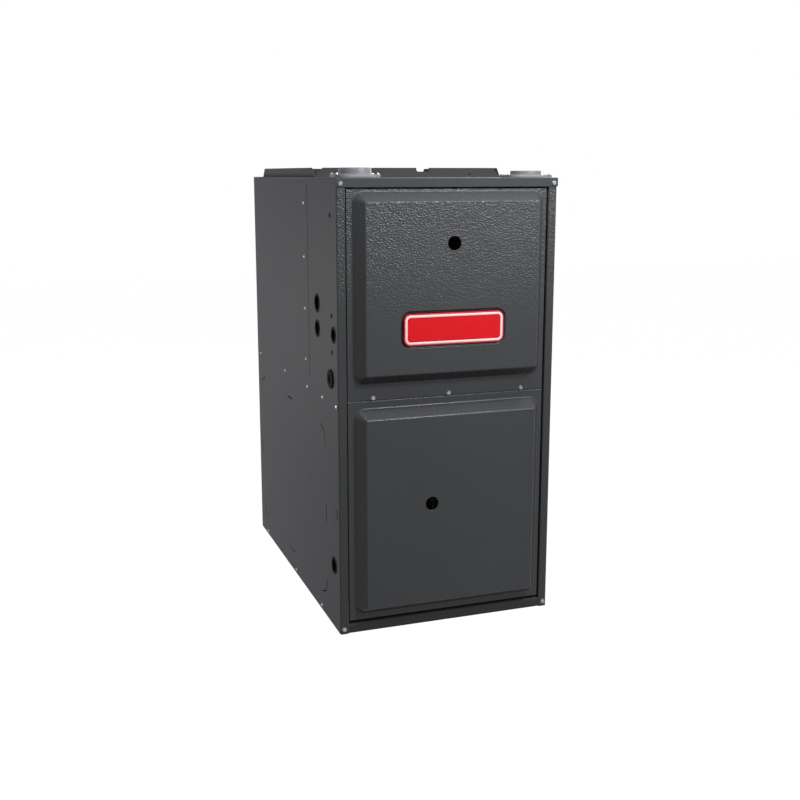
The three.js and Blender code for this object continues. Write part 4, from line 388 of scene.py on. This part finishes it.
# %% Dress the solids
finish_of_slot = {
    "cabinet_paint": cabinet_enamel,
    "embossed_door": door_enamel,
    "galvanised_steel": galvanised,
    "zinc_plate": zinc_plate,
    "foil_board": foil,
    "red_badge": badge_red,
    "grey_vent_plastic": pvc_grey,
    "black_rubber": black_rubber,
    "black_iron_pipe": iron_pipe,
    "aluminium_casting": cast_aluminium,
    "red_plastic": red_abs,
    "ceramic": ceramic,
    "stainless_steel": stainless,
    "black_plastic": black_nylon,
    "aluminised_steel": aluminised,
    "motor_enamel": motor_enamel,
    "ivory_plastic": ivory_abs,
    "grey_plastic": grey_hose,
    "green_board": board_mask,
}
slot_of_node = {row["node"]: row["material_slot"] for row in frame["record"]["subparts"]}
body_of_node = {
    node: body for body, members in frame["record"]["behaviour"]["bodies"].items() for node in members
}
SMOOTH_BELOW = math.radians(46)
FLAT_SHEET_BELOW = math.radians(15)  # folded sheet keeps its faces flat right up to the folds
ROUND_TUBE_BELOW = math.radians(62)
FRONT_FRAME = ("cabinet_wrap", "top_panel", "base_pan")
TUBES = ("primary_tube", "pressure_hose", "drain_tube", "vent_pipe")
LOOKS_FORWARD = -0.9  # a face's normal along Y


def shade(mesh, limit=SMOOTH_BELOW):
    mesh.shade_smooth()
    mesh.set_sharp_from_angle(angle=limit)


def face_forward(mesh, material):
    """Gives the faces that look to the front a finish of their own."""
    mesh.materials.append(material)
    for face in mesh.polygons:
        face.material_index = 1 if face.normal.y < LOOKS_FORWARD else 0


def smooth_limit(name):
    """The angle above which an edge of a solid is sharp."""
    if name in FRONT_FRAME:
        return FLAT_SHEET_BELOW
    return ROUND_TUBE_BELOW if name.startswith(TUBES) else SMOOTH_BELOW


for name, solid in nodes.items():
    solid.data.materials.clear()
    solid.data.materials.append(finish_of_slot[slot_of_node[name]])
    if name in FRONT_FRAME:
        # the wrap's front faces take the embossed enamel; the rails' take the darker copy, which is painted
        # shade
        face_forward(solid.data, frame_enamel if name == "cabinet_wrap" else rail_painted_shade_enamel)
    shade(solid.data, smooth_limit(name))
print("dressed", len(nodes), "solids in", len(finish_of_slot), "finishes")

# %% [markdown]
# ## Tools for new pieces
#
# A new piece is a mesh made from rings of points: each ring is joined to the next by a band of four-sided
# faces. That is enough for stamped doors, collars, screws and rims. A piece then takes its body, its slot
# and, where it stands for a solid, that solid's place.


# %% Mesh helpers
def rounded_rectangle(x0, x1, z0, z1, radius, steps):
    """Points round a rectangle with round corners, counter-clockwise from the lower left one."""
    points = []
    corners = [(x0, z0, 1, 1), (x1, z0, -1, 1), (x1, z1, -1, -1), (x0, z1, 1, -1)]
    for turn, (x, z, inx, inz) in enumerate(corners):
        angles = [math.pi * (1 + turn / 2) + math.pi / 2 * step / steps for step in range(steps + 1)]
        cx, cz = x + inx * radius, z + inz * radius
        points += [(cx + radius * math.cos(a), cz + radius * math.sin(a)) for a in angles]
    return points


def circle(radius, count):
    turns = [2 * math.pi * i / count for i in range(count)]
    return [(radius * math.cos(turn), radius * math.sin(turn)) for turn in turns]


def mesh_of(name, build):
    """Turns what was built into a mesh."""
    mesh = bpy.data.meshes.new(name)
    build.to_mesh(mesh)
    build.free()
    return mesh


def add_rings(build, rings, closed=False):
    """Joins rings of (x, y, z) points by bands of faces, and gives the rows of corners back."""
    rows = [[build.verts.new(point) for point in ring] for ring in rings]
    count = len(rows[0])
    pairs = list(zip(rows, rows[1:])) + ([(rows[-1], rows[0])] if closed else [])
    for low, high in pairs:
        for i in range(count):
            j = (i + 1) % count
            build.faces.new((low[i], low[j], high[j], high[i]))
    return rows


def ring_mesh(name, rings, closed=False, caps=(False, False)):
    """Rings of points as a skin of its own. closed also joins the last ring to the first."""
    build = bmesh.new()
    rows = add_rings(build, rings, closed)
    if caps[0]:
        build.faces.new(rows[0][::-1])
    if caps[1]:
        build.faces.new(rows[-1])
    return mesh_of(name, build)


def piece(mesh, body, material, replaces=(), place=(0, 0, 0)):
    """Puts a mesh in the scene as a piece that rides on a body. It is named after its mesh."""
    obj = bpy.data.objects.new(mesh.name, mesh)
    obj.location = place
    scene.collection.objects.link(obj)
    if not mesh.materials:
        mesh.materials.append(material)
    shade(mesh)
    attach(obj, body)
    if replaces:
        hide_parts(*replaces)
    return obj


def thicken(obj, thickness):
    """Gives a skin its sheet's thickness, on the side away from its faces' fronts."""
    sheet = obj.modifiers.new("sheet", "SOLIDIFY")
    sheet.thickness = thickness
    sheet.offset = -1
    sheet.use_even_offset = True


print("mesh helpers ready: rings, pieces and sheet thickness")

# %% [markdown]
# ## The doors
#
# Each door is one stamping: a flat border, a slope, and a raised field, with every fold rounded and three
# of its edges hemmed back. The rings run from the back of the hem, round its fold, across the border, up
# the slope and over the edge. Corner radii grow with the distance from the field, as they do on a real
# stamping, where one tool rounds them all about the same centres. A guard ring lies beside each fold, so
# that the flat stretches are shaded truly flat. The raised face is then filled in between its edge, the rim
# of the sight hole and, on the upper door, the shallow pocket that the badge sits in.

# %% Door builder
SHEET = 1.2 * MM
DOOR_HEM = 8 * MM
FIELD_RELIEF = 25 * MM
FIELD_BEVEL = 18 * MM
FIELD_RADIUS = 3 * MM
FIELD_FOLD = 4.0 * MM
HEM_FOLD = 1.4 * MM
CORNER_ROUND = HEM_FOLD * 1.01  # just over the hem's fold, so that no corner shrinks to a point
GUARD = 0.6 * MM  # from a fold to the guard ring beside it
HOLE_LIP = 0.8 * MM
HOLE_STEPS = 48
POCKET_PROFILE = ((2.4, 0), (1.6, 0), (1.0, 0.4), (0.4, 1.8), (0, 2.2))  # grow and depth, in mm
CORNER_STEPS = 10
FOLD_STEPS = 5


def fold_points(before, corner, after, radius, steps=FOLD_STEPS):
    """Points of a round fold at a corner of a (grow, rise) profile."""
    a, b, c = Vector(before), Vector(corner), Vector(after)
    into, out = (a - b).normalized(), (c - b).normalized()
    half = into.angle(out) / 2
    middle = b + (into + out).normalized() * radius / math.sin(half)
    start = b + into * radius / math.tan(half) - middle
    end = b + out * radius / math.tan(half) - middle
    sweep = start.angle_signed(end)
    return [middle + Matrix.Rotation(-sweep * i / steps, 2) @ start for i in range(steps + 1)]


def door_skin(name, open_edge, field, sight, pocket):
    """The outer skin of a door. field is x0, x1, z0, z1 of the raised part. So is pocket, or it is None."""
    low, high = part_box(name)
    x0, x1, z0, z1 = low.x, high.x, low.z, high.z
    face = high.y - DOOR_HEM
    seam = z0 if open_edge == "bottom" else z1

    def edge_ring(inset, depth):
        """A ring round the whole door. Along the seam there is no hem, only the rolled edge."""
        ring = []
        box = (x0 + inset, x1 - inset, z0 + inset, z1 - inset)
        for x, z in rounded_rectangle(*box, CORNER_ROUND, CORNER_STEPS):
            at_seam = abs(z - seam) < inset + HEM_FOLD * 0.9
            ring.append((x, face + min(depth, HEM_FOLD) if at_seam else face + depth, z))
        return ring

    def ring_at(box, grow, radius, rise):
        """A ring that stands a distance outside a box, and a height above the door's border."""
        bx0, bx1, bz0, bz1 = box
        grown = (bx0 - grow, bx1 + grow, bz0 - grow, bz1 + grow)
        return [(x, face - rise, z) for x, z in rounded_rectangle(*grown, radius + grow, CORNER_STEPS)]

    rings = [edge_ring(0, DOOR_HEM), edge_ring(0, HEM_FOLD)]
    for step in range(1, FOLD_STEPS + 1):
        angle = math.pi / 2 * step / FOLD_STEPS
        rings.append(edge_ring(HEM_FOLD * (1 - math.cos(angle)), HEM_FOLD * (1 - math.sin(angle))))
    rings.append(edge_ring(HEM_FOLD + GUARD, 0))
    far = FIELD_BEVEL * 2
    foot = fold_points((far, 0), (FIELD_BEVEL, 0), (0, FIELD_RELIEF), FIELD_FOLD)
    brow = fold_points((FIELD_BEVEL, 0), (0, FIELD_RELIEF), (-far, FIELD_RELIEF), FIELD_FOLD)
    slope = [(foot[0].x + GUARD, 0), *foot, *brow, (brow[-1].x - GUARD, FIELD_RELIEF)]
    rings += [ring_at(field, grow, FIELD_RADIUS, rise) for grow, rise in slope]

    def hole_ring(radius, depth):
        points = circle(radius, HOLE_STEPS)
        return [(sight[0] + u, face - FIELD_RELIEF + depth, sight[1] + v) for u, v in points]

    hole = [hole_ring(SIGHT_RADIUS + HOLE_LIP + GUARD, 0)]
    for step in range(FOLD_STEPS):
        angle = math.pi / 2 * step / (FOLD_STEPS - 1)
        radius = SIGHT_RADIUS + HOLE_LIP * (1 - math.sin(angle))
        hole.append(hole_ring(radius, HOLE_LIP * (1 - math.cos(angle))))
    build = bmesh.new()
    loops = [add_rings(build, rings)[-1], add_rings(build, hole)[0]]
    if pocket:
        wall = [ring_at(pocket, grow * MM, POCKET_CORNER, FIELD_RELIEF - depth * MM)
                for grow, depth in POCKET_PROFILE]
        rows = add_rings(build, wall)
        build.faces.new(rows[-1])
        loops.append(rows[0])
    edges = [build.edges.get(pair) for loop in loops for pair in zip(loop, loop[1:] + loop[:1])]
    bmesh.ops.triangle_fill(build, use_beauty=True, use_dissolve=False, edges=edges, normal=(0, -1, 0))
    return mesh_of(name + "_stamping", build)


print("field raised by", round(FIELD_RELIEF / MM), "mm, slope", round(FIELD_BEVEL / MM), "mm wide")

# %% [markdown]
# The two doors share the builder. The margins place the raised field inside the border, and each sight hole
# hangs a set distance below the field's top edge. The pocket is a little larger than the badge all round,
# so that a dark gap and a bright lower edge frame the badge.

# %% Upper and lower door
FIELD_HALF_WIDTH = 174.5 * MM
SIGHT_RADIUS = 13.2 * MM
UPPER_MARGINS = (50.3 * MM, 22.8 * MM)  # below and above the field
LOWER_MARGINS = (29.2 * MM, 32.6 * MM)
UPPER_SIGHT = (0.0, 77.4 * MM)  # x, and drop below the field's top
LOWER_SIGHT = (-42 * MM, 173.6 * MM)
POCKET_MARGIN = 4.0 * MM
BADGE_CORNER = 13 * MM
POCKET_CORNER = BADGE_CORNER + POCKET_MARGIN


def pocket_round(node):
    """The box of the pocket that a badge sits in: x0, x1, z0, z1."""
    low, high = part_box(node)
    return (low.x - POCKET_MARGIN, high.x + POCKET_MARGIN, low.z - POCKET_MARGIN, high.z + POCKET_MARGIN)


def build_door(name, open_edge, margins, sight, pocket=None):
    low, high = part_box(name)
    field = (-FIELD_HALF_WIDTH, FIELD_HALF_WIDTH, low.z + margins[0], high.z - margins[1])
    hole = (sight[0], field[3] - sight[1])
    door = piece(door_skin(name, open_edge, field, hole, pocket), name, door_enamel, [name])
    thicken(door, SHEET)
    print(name, "field", [round(v / MM, 1) for v in field], "mm")


build_door("upper_door", "bottom", UPPER_MARGINS, UPPER_SIGHT, pocket_round("badge_plate"))
build_door("lower_door", "top", LOWER_MARGINS, LOWER_SIGHT)

# %% [markdown]
# ## The badge
#
# The badge is a moulded acrylic plate with rounded corners. It is left plain: a red field inside a pale
# raised rim, with a thin red edge outside it. The plate and the rim are rings of the same rounded outline.
# A pad behind the plate holds it to the floor of the door's pocket.

# %% Badge
BADGE_STEPS = 12
RIM_INSET = 2.4 * MM
RIM_WIDTH = 4.6 * MM
RIM_RISE = 0.8 * MM  # from the plate's front to the rim's
RIM_ROUND = 0.3 * MM
RIM_SINK = 0.2 * MM
SOFT_EDGE = 0.7 * MM
SOFT_STEPS = 4
BADGE_GAP = 0.3 * MM  # from the badge's back to the raised field
PAD_INSET = 8 * MM


def outline_ring(inset, y, box):
    (x0, z0), (x1, z1) = box
    shrunk = (x0 + inset, x1 - inset, z0 + inset, z1 - inset)
    return [(x, y, z) for x, z in rounded_rectangle(*shrunk, BADGE_CORNER - inset, BADGE_STEPS)]


low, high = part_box("badge_plate")
badge_area = ((low.x, low.z), (high.x, high.z))
plate_front = low.y + RIM_RISE
pocket_floor = high.y + BADGE_GAP + POCKET_PROFILE[-1][1] * MM
plate_rings = [outline_ring(PAD_INSET, pocket_floor, badge_area), outline_ring(PAD_INSET, high.y, badge_area),
               outline_ring(0, high.y, badge_area), outline_ring(0, plate_front + SOFT_EDGE, badge_area)]
for step in range(1, SOFT_STEPS + 1):
    angle = math.pi / 2 * step / SOFT_STEPS
    plate_rings.append(outline_ring(SOFT_EDGE * (1 - math.cos(angle)),
                                    plate_front + SOFT_EDGE * (1 - math.sin(angle)), badge_area))
plate_rings.append(outline_ring(RIM_INSET + RIM_WIDTH + 1 * MM, plate_front, badge_area))
piece(ring_mesh("badge_red_plate", plate_rings, caps=(True, True)), "upper_door", badge_red,
      ["badge_plate"])
rim_rings = [
    outline_ring(RIM_INSET, plate_front + RIM_SINK, badge_area),
    outline_ring(RIM_INSET, low.y + RIM_ROUND, badge_area),
    outline_ring(RIM_INSET + RIM_ROUND, low.y, badge_area),
    outline_ring(RIM_INSET + RIM_WIDTH - RIM_ROUND, low.y, badge_area),
    outline_ring(RIM_INSET + RIM_WIDTH, low.y + RIM_ROUND, badge_area),
    outline_ring(RIM_INSET + RIM_WIDTH, plate_front + RIM_SINK, badge_area),
]
piece(ring_mesh("badge_pale_rim", rim_rings, closed=True), "upper_door", badge_rim_paint)
print("badge", round((high.x - low.x) / MM), "x", round((high.z - low.z) / MM), "mm")

# %% [markdown]
# ## Screws
#
# The cabinet is held by zinc plated hex washer screws, slotted so that the doors open with a flat driver. A
# head is a domed hexagon on a round flange, and the slot is cut as two halves that stand apart. One builder
# makes them all.

# %% Hex washer screws
WASHER_RADIUS = 4.6 * MM
HEX_RADIUS = 3.7 * MM
HEAD_HEIGHT = 3.2 * MM
SLOT_WIDTH = 1.2 * MM
HEX_FOOT = 0.46 * MM  # the hexagon starts this far above the seat, inside the flange
DOME_SHARE = 0.82  # of the head's height, where its dome starts
DOME_TAPER = 0.86
WASHER_STEPS = 28
SHANK_LENGTH = 9.5 * MM
THREAD_PITCH = 1.4 * MM
THREAD_ROOT = 1.6 * MM
THREAD_CREST = 2.1 * MM
THREAD_STEPS = 14


def half_head(side):
    """Half of the hexagon, above or below the slot, as a closed block with a domed top."""
    edge = SLOT_WIDTH / 2
    turns = [math.pi * i / 3 for i in range(4)]
    corners = [(HEX_RADIUS * math.cos(turn), HEX_RADIUS * math.sin(turn)) for turn in turns]
    flat = [(x, max(z, edge)) for x, z in corners]
    flat = [(x, z * side) for x, z in (flat if side > 0 else flat[::-1])]
    top = [(x * DOME_TAPER, side * (edge + (abs(z) - edge) * DOME_TAPER)) for x, z in flat]
    return [
        [(x, -HEX_FOOT, z) for x, z in flat],
        [(x, -HEAD_HEIGHT * DOME_SHARE, z) for x, z in flat],
        [(x, -HEAD_HEIGHT, z) for x, z in top],
    ]


def screw_mesh(name, shank_length):
    """A screw seated at y = 0, its head towards -Y and its threaded shank going back."""
    build = bmesh.new()

    def skin(rings):
        part = ring_mesh("part", rings, caps=(True, True))
        build.from_mesh(part)
        bpy.data.meshes.remove(part)

    flange = [(WASHER_RADIUS, 0), (WASHER_RADIUS, -0.5), (WASHER_RADIUS * 0.9, -1.0)]
    skin([[(x, y * MM, z) for x, z in circle(r, WASHER_STEPS)] for r, y in flange])
    skin(half_head(1))
    skin(half_head(-1))
    if shank_length:
        turns = int(shank_length / THREAD_PITCH) + 1
        threads = [(r, (i + share) * THREAD_PITCH) for i in range(turns)
                   for r, share in ((THREAD_ROOT, 0), (THREAD_CREST, 0.5))]
        skin([[(x, y, z) for x, z in circle(r, THREAD_STEPS)] for r, y in threads])
    return mesh_of(name, build)


def screw_heads(name, transforms):
    """Heads without shanks, one for each transform, as one mesh."""
    heads = bmesh.new()
    for transform in transforms:
        head = screw_mesh("head", 0)
        head.transform(transform)
        heads.from_mesh(head)
        bpy.data.meshes.remove(head)
    return mesh_of(name, heads)


screw_names = [name for name in nodes if "_screw_" in name]
SCREW_TURNS = (0.5, -0.7, 1.1, 0.2, -0.3, 0.9, -1.2)
for name, turn in zip(sorted(screw_names), SCREW_TURNS):
    low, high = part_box(name)
    seat = low.y + HEAD_HEIGHT
    mesh = screw_mesh(name + "_plated", SHANK_LENGTH)
    mesh.transform(Matrix.Rotation(turn, 4, "Y"))
    piece(mesh, body_of_node[name], zinc_plate, [name],
          ((low.x + high.x) / 2, seat, (low.z + high.z) / 2))
print("screws:", len(screw_names))

# %% [markdown]
# The sides carry more screws of the same kind, through the wrap into the vestibule panel, the deck and the
# base pan. They are listed by their distance from the front frame and their height. All the heads on a side
# are one mesh.

# %% Side screws
front_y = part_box("cabinet_wrap")[0].y
side_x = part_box("cabinet_wrap")[1].x
side_screws = [(233.5, z) for z in (826, 719, 614, 509)]
side_screws += [(depth, 452.5) for depth in (13, 110, 226, 422, 674)]
side_screws += [(depth, 10) for depth in (135, 350, 636)]
SIDE_SCREW_SCALE = 0.72
SCREW_TURN = 0.8  # from each head to the next, so that no two slots line up
SIDES = {"left": -1, "right": 1}
for label, side in SIDES.items():
    room = abs(cad_box[0 if side < 0 else 1][0]) - side_x  # how far a head may stand out of the side
    press = Matrix.Scale(min(1, room / (HEAD_HEIGHT * SIDE_SCREW_SCALE)), 4, (0, 1, 0))
    size = Matrix.Scale(SIDE_SCREW_SCALE, 4)
    outward = Matrix.Rotation(math.pi / 2 * side, 4, "Z")
    transforms = []
    for order, (depth, height) in enumerate(side_screws):
        place = Matrix.Translation((side * side_x, front_y + depth * MM, height * MM))
        transforms.append(place @ outward @ press @ size @ Matrix.Rotation(order * SCREW_TURN, 4, "Y"))
    piece(screw_heads(f"side_screws_{label}", transforms), "cabinet", zinc_plate)
print("side screws:", len(side_screws), "on each side")

# %% [markdown]
# The service holes in the sides get black rings round their rims, and the three small ones black plugs. Both
# are painted shade: a black rubber finish darkens the rims and the small holes. Each is one profile turned
# about the hole's axis,
# given as pairs of radius and height above the side. A closed knock-out is a disc that is only outlined by
# its cut.

# %% Painted shade rings, shade plugs and knock-outs
# distance from the front, height and, for a hole, its radius, in mm
SIDE_HOLES = ((141.6, 635, 15), (141.6, 585, 14), (27.4, 587, 12.5), (40.5, 128.5, 14))
SMALL_HOLES = ((39.4, 552), (39.4, 622), (44, 808.5))
KNOCKOUT_DISC = (23, 237)
# a shade ring's radii are added to its hole's
SHADE_RING_PROFILE = ((-0.9, -3.0), (-0.9, 0.6), (0.3, 0.9), (2.6, 0.9), (3.6, 0.6), (3.8, 0.0), (0.4, -3.0))
SHADE_PLUG_PROFILE = ((4.4, -2.0), (4.4, 0.3), (4.0, 0.7), (2.6, 0.9), (1.0, 0.9))
DISC_PROFILE = ((11.2, 0.0), (11.0, 0.35), (10.4, 0.35), (10.1, -0.3), (9.7, -0.3), (9.4, 0.3), (8.8, 0.4))
TURN_STEPS = 32


def turned_on_side(name, side, spots, closed=False):
    """One mesh of turned pieces on a side. Each spot is a distance from the front, a height and a profile."""
    build = bmesh.new()
    for depth, height, profile in spots:
        rings = [
            [(side * (side_x + out * MM), front_y + depth * MM + side * u, height * MM + v)
             for u, v in circle(radius * MM, TURN_STEPS)]
            for radius, out in profile
        ]
        rows = add_rings(build, rings, closed)
        if not closed:
            build.faces.new(rows[-1])
    bmesh.ops.recalc_face_normals(build, faces=build.faces)
    return mesh_of(name, build)


shade_rings = [(depth, height, [(radius + grow, out) for grow, out in SHADE_RING_PROFILE])
            for depth, height, radius in SIDE_HOLES]
shade_plugs = [(depth, height, SHADE_PLUG_PROFILE) for depth, height in SMALL_HOLES]
for label, side in SIDES.items():
    shade_ring_mesh = turned_on_side(f"hole_shade_rings_{label}", side, shade_rings, closed=True)
    shade_plug_mesh = turned_on_side(f"hole_shade_plugs_{label}", side, shade_plugs)
    disc_mesh = turned_on_side(f"closed_knockout_{label}", side, [(*KNOCKOUT_DISC, DISC_PROFILE)])
    # painted shade: the black rings and plugs darken the holes' rims and the small holes
    piece(shade_ring_mesh, "cabinet", black_rubber)
    piece(shade_plug_mesh, "cabinet", black_rubber)
    piece(disc_mesh, "cabinet", cabinet_enamel)
print("bushings:", len(shade_rings), "plugs:", len(shade_plugs), "on each side")

# %% [markdown]
# ## The supply duct flanges
#
# The top panel keeps its solid's shape, but its four upturned flanges are three quarters of an inch high.
# So it is a copy of the solid's mesh, with everything above the panel brought down to that height.

# %% Top panel
FLANGE_HEIGHT = 19.05 * MM
COLLAR_GAP = 0.3 * MM  # from the top panel to the collar that is screwed to it
TOUCH = 0.01 * MM
panel_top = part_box("vent_collar")[0].z - COLLAR_GAP
flange_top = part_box("top_panel")[1].z
panel = nodes["top_panel"].data.copy()
panel.name = "top_panel_with_flanges"
for vertex in panel.vertices:
    if vertex.co.z > panel_top + TOUCH:
        vertex.co.z = panel_top + (vertex.co.z - panel_top) * FLANGE_HEIGHT / (flange_top - panel_top)
piece(panel, "cabinet", cabinet_enamel, ["top_panel"])
shade(panel, FLAT_SHEET_BELOW)
print("duct flange height:", round(FLANGE_HEIGHT / MM, 2), "mm")

# %% [markdown]
# ## Vent and intake collars
#
# The collars are moulded PVC: a rounded foot screwed to the top panel, a fillet, and a short socket. Each
# is turned from one profile, except the foot, whose outline is a rounded rectangle that runs into the
# socket's circle. Both take their points at the same even angles, so that the socket is truly round.

# %% Collars
COLLAR_STEPS = 64
SOCKET_RADIUS = 30.15 * MM
PIPE_BORE = 26.2 * MM
FOOT_ROUND = 0.8 * MM  # the foot's upper edge
FOOT_TAPER = 0.985
COLLAR_FILLET = 2.5 * MM
FILLET_STEPS = 4
LIP_ROUND = 0.8 * MM
COLLARS = {"vent": (6 * MM, 18 * MM), "intake": (5 * MM, 12.6 * MM)}  # height of the foot, and of it all
COLLAR_SCREW_SCALE = 0.7
COLLAR_SCREW_Y = 16 * MM
COLLAR_SCREW_INSET = 4.5 * MM  # from the foot's end


def even_outline(half_x, half_y, corner, count):
    """Points of a rounded rectangle about its centre, at the even angles of a circle."""
    points = []
    for x, y in circle(1.0, count):
        inside, outside = 0.0, half_x + half_y
        for _ in range(30):
            reach = (inside + outside) / 2
            past_x = max(abs(x) * reach - half_x + corner, 0)
            past_y = max(abs(y) * reach - half_y + corner, 0)
            inside, outside = (inside, reach) if math.hypot(past_x, past_y) > corner else (reach, outside)
        points.append((x * inside, y * inside))
    return points


def collar_mesh(name, node, foot_height, height):
    low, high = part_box(node)
    cx, cy = (low.x + high.x) / 2, (low.y + high.y) / 2
    foot = even_outline(high.x - cx, high.y - cy, (high.y - low.y) / 3, COLLAR_STEPS)
    base, lip = low.z, low.z + height

    def scaled(share, z):
        return [(cx + x * share, cy + y * share, z) for x, y in foot]

    def round_at(r, z):
        return [(cx + x, cy + y, z) for x, y in circle(r, COLLAR_STEPS)]

    rings = [round_at(PIPE_BORE, base), scaled(1, base), scaled(1, base + foot_height - FOOT_ROUND),
             scaled(FOOT_TAPER, base + foot_height)]
    for step in range(FILLET_STEPS + 1):
        angle = math.pi / 2 * step / FILLET_STEPS
        rings.append(round_at(SOCKET_RADIUS + COLLAR_FILLET * (1 - math.sin(angle)),
                              base + foot_height + COLLAR_FILLET * (1 - math.cos(angle))))
    rings += [round_at(SOCKET_RADIUS, lip - LIP_ROUND), round_at(SOCKET_RADIUS - LIP_ROUND, lip),
              round_at(PIPE_BORE + LIP_ROUND, lip), round_at(PIPE_BORE, lip - LIP_ROUND)]
    return ring_mesh(name, rings, closed=True)


for label, (foot_height, height) in COLLARS.items():
    node = f"{label}_collar"
    moulding = collar_mesh(f"{node}_moulding", node, foot_height, height)
    piece(moulding, "cabinet", pvc_grey, [node])

upright = Matrix.Rotation(-math.pi / 2, 4, "X") @ Matrix.Scale(COLLAR_SCREW_SCALE, 4)
for label, (foot_height, height) in COLLARS.items():
    low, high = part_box(f"{label}_collar")
    middle = (low + high) / 2
    reach = (high.x - low.x) / 2 - COLLAR_SCREW_INSET
    spots = [(middle.x + u * reach, middle.y + v * COLLAR_SCREW_Y) for u in (-1, 1) for v in (-1, 1)]
    transforms = [Matrix.Translation((x, y, low.z + foot_height)) @ upright for x, y in spots]
    piece(screw_heads(f"{label}_collar_screws", transforms), "cabinet", zinc_plate)
print("collar heights:", {label: round(sizes[1] / MM, 1) for label, sizes in COLLARS.items()}, "mm")
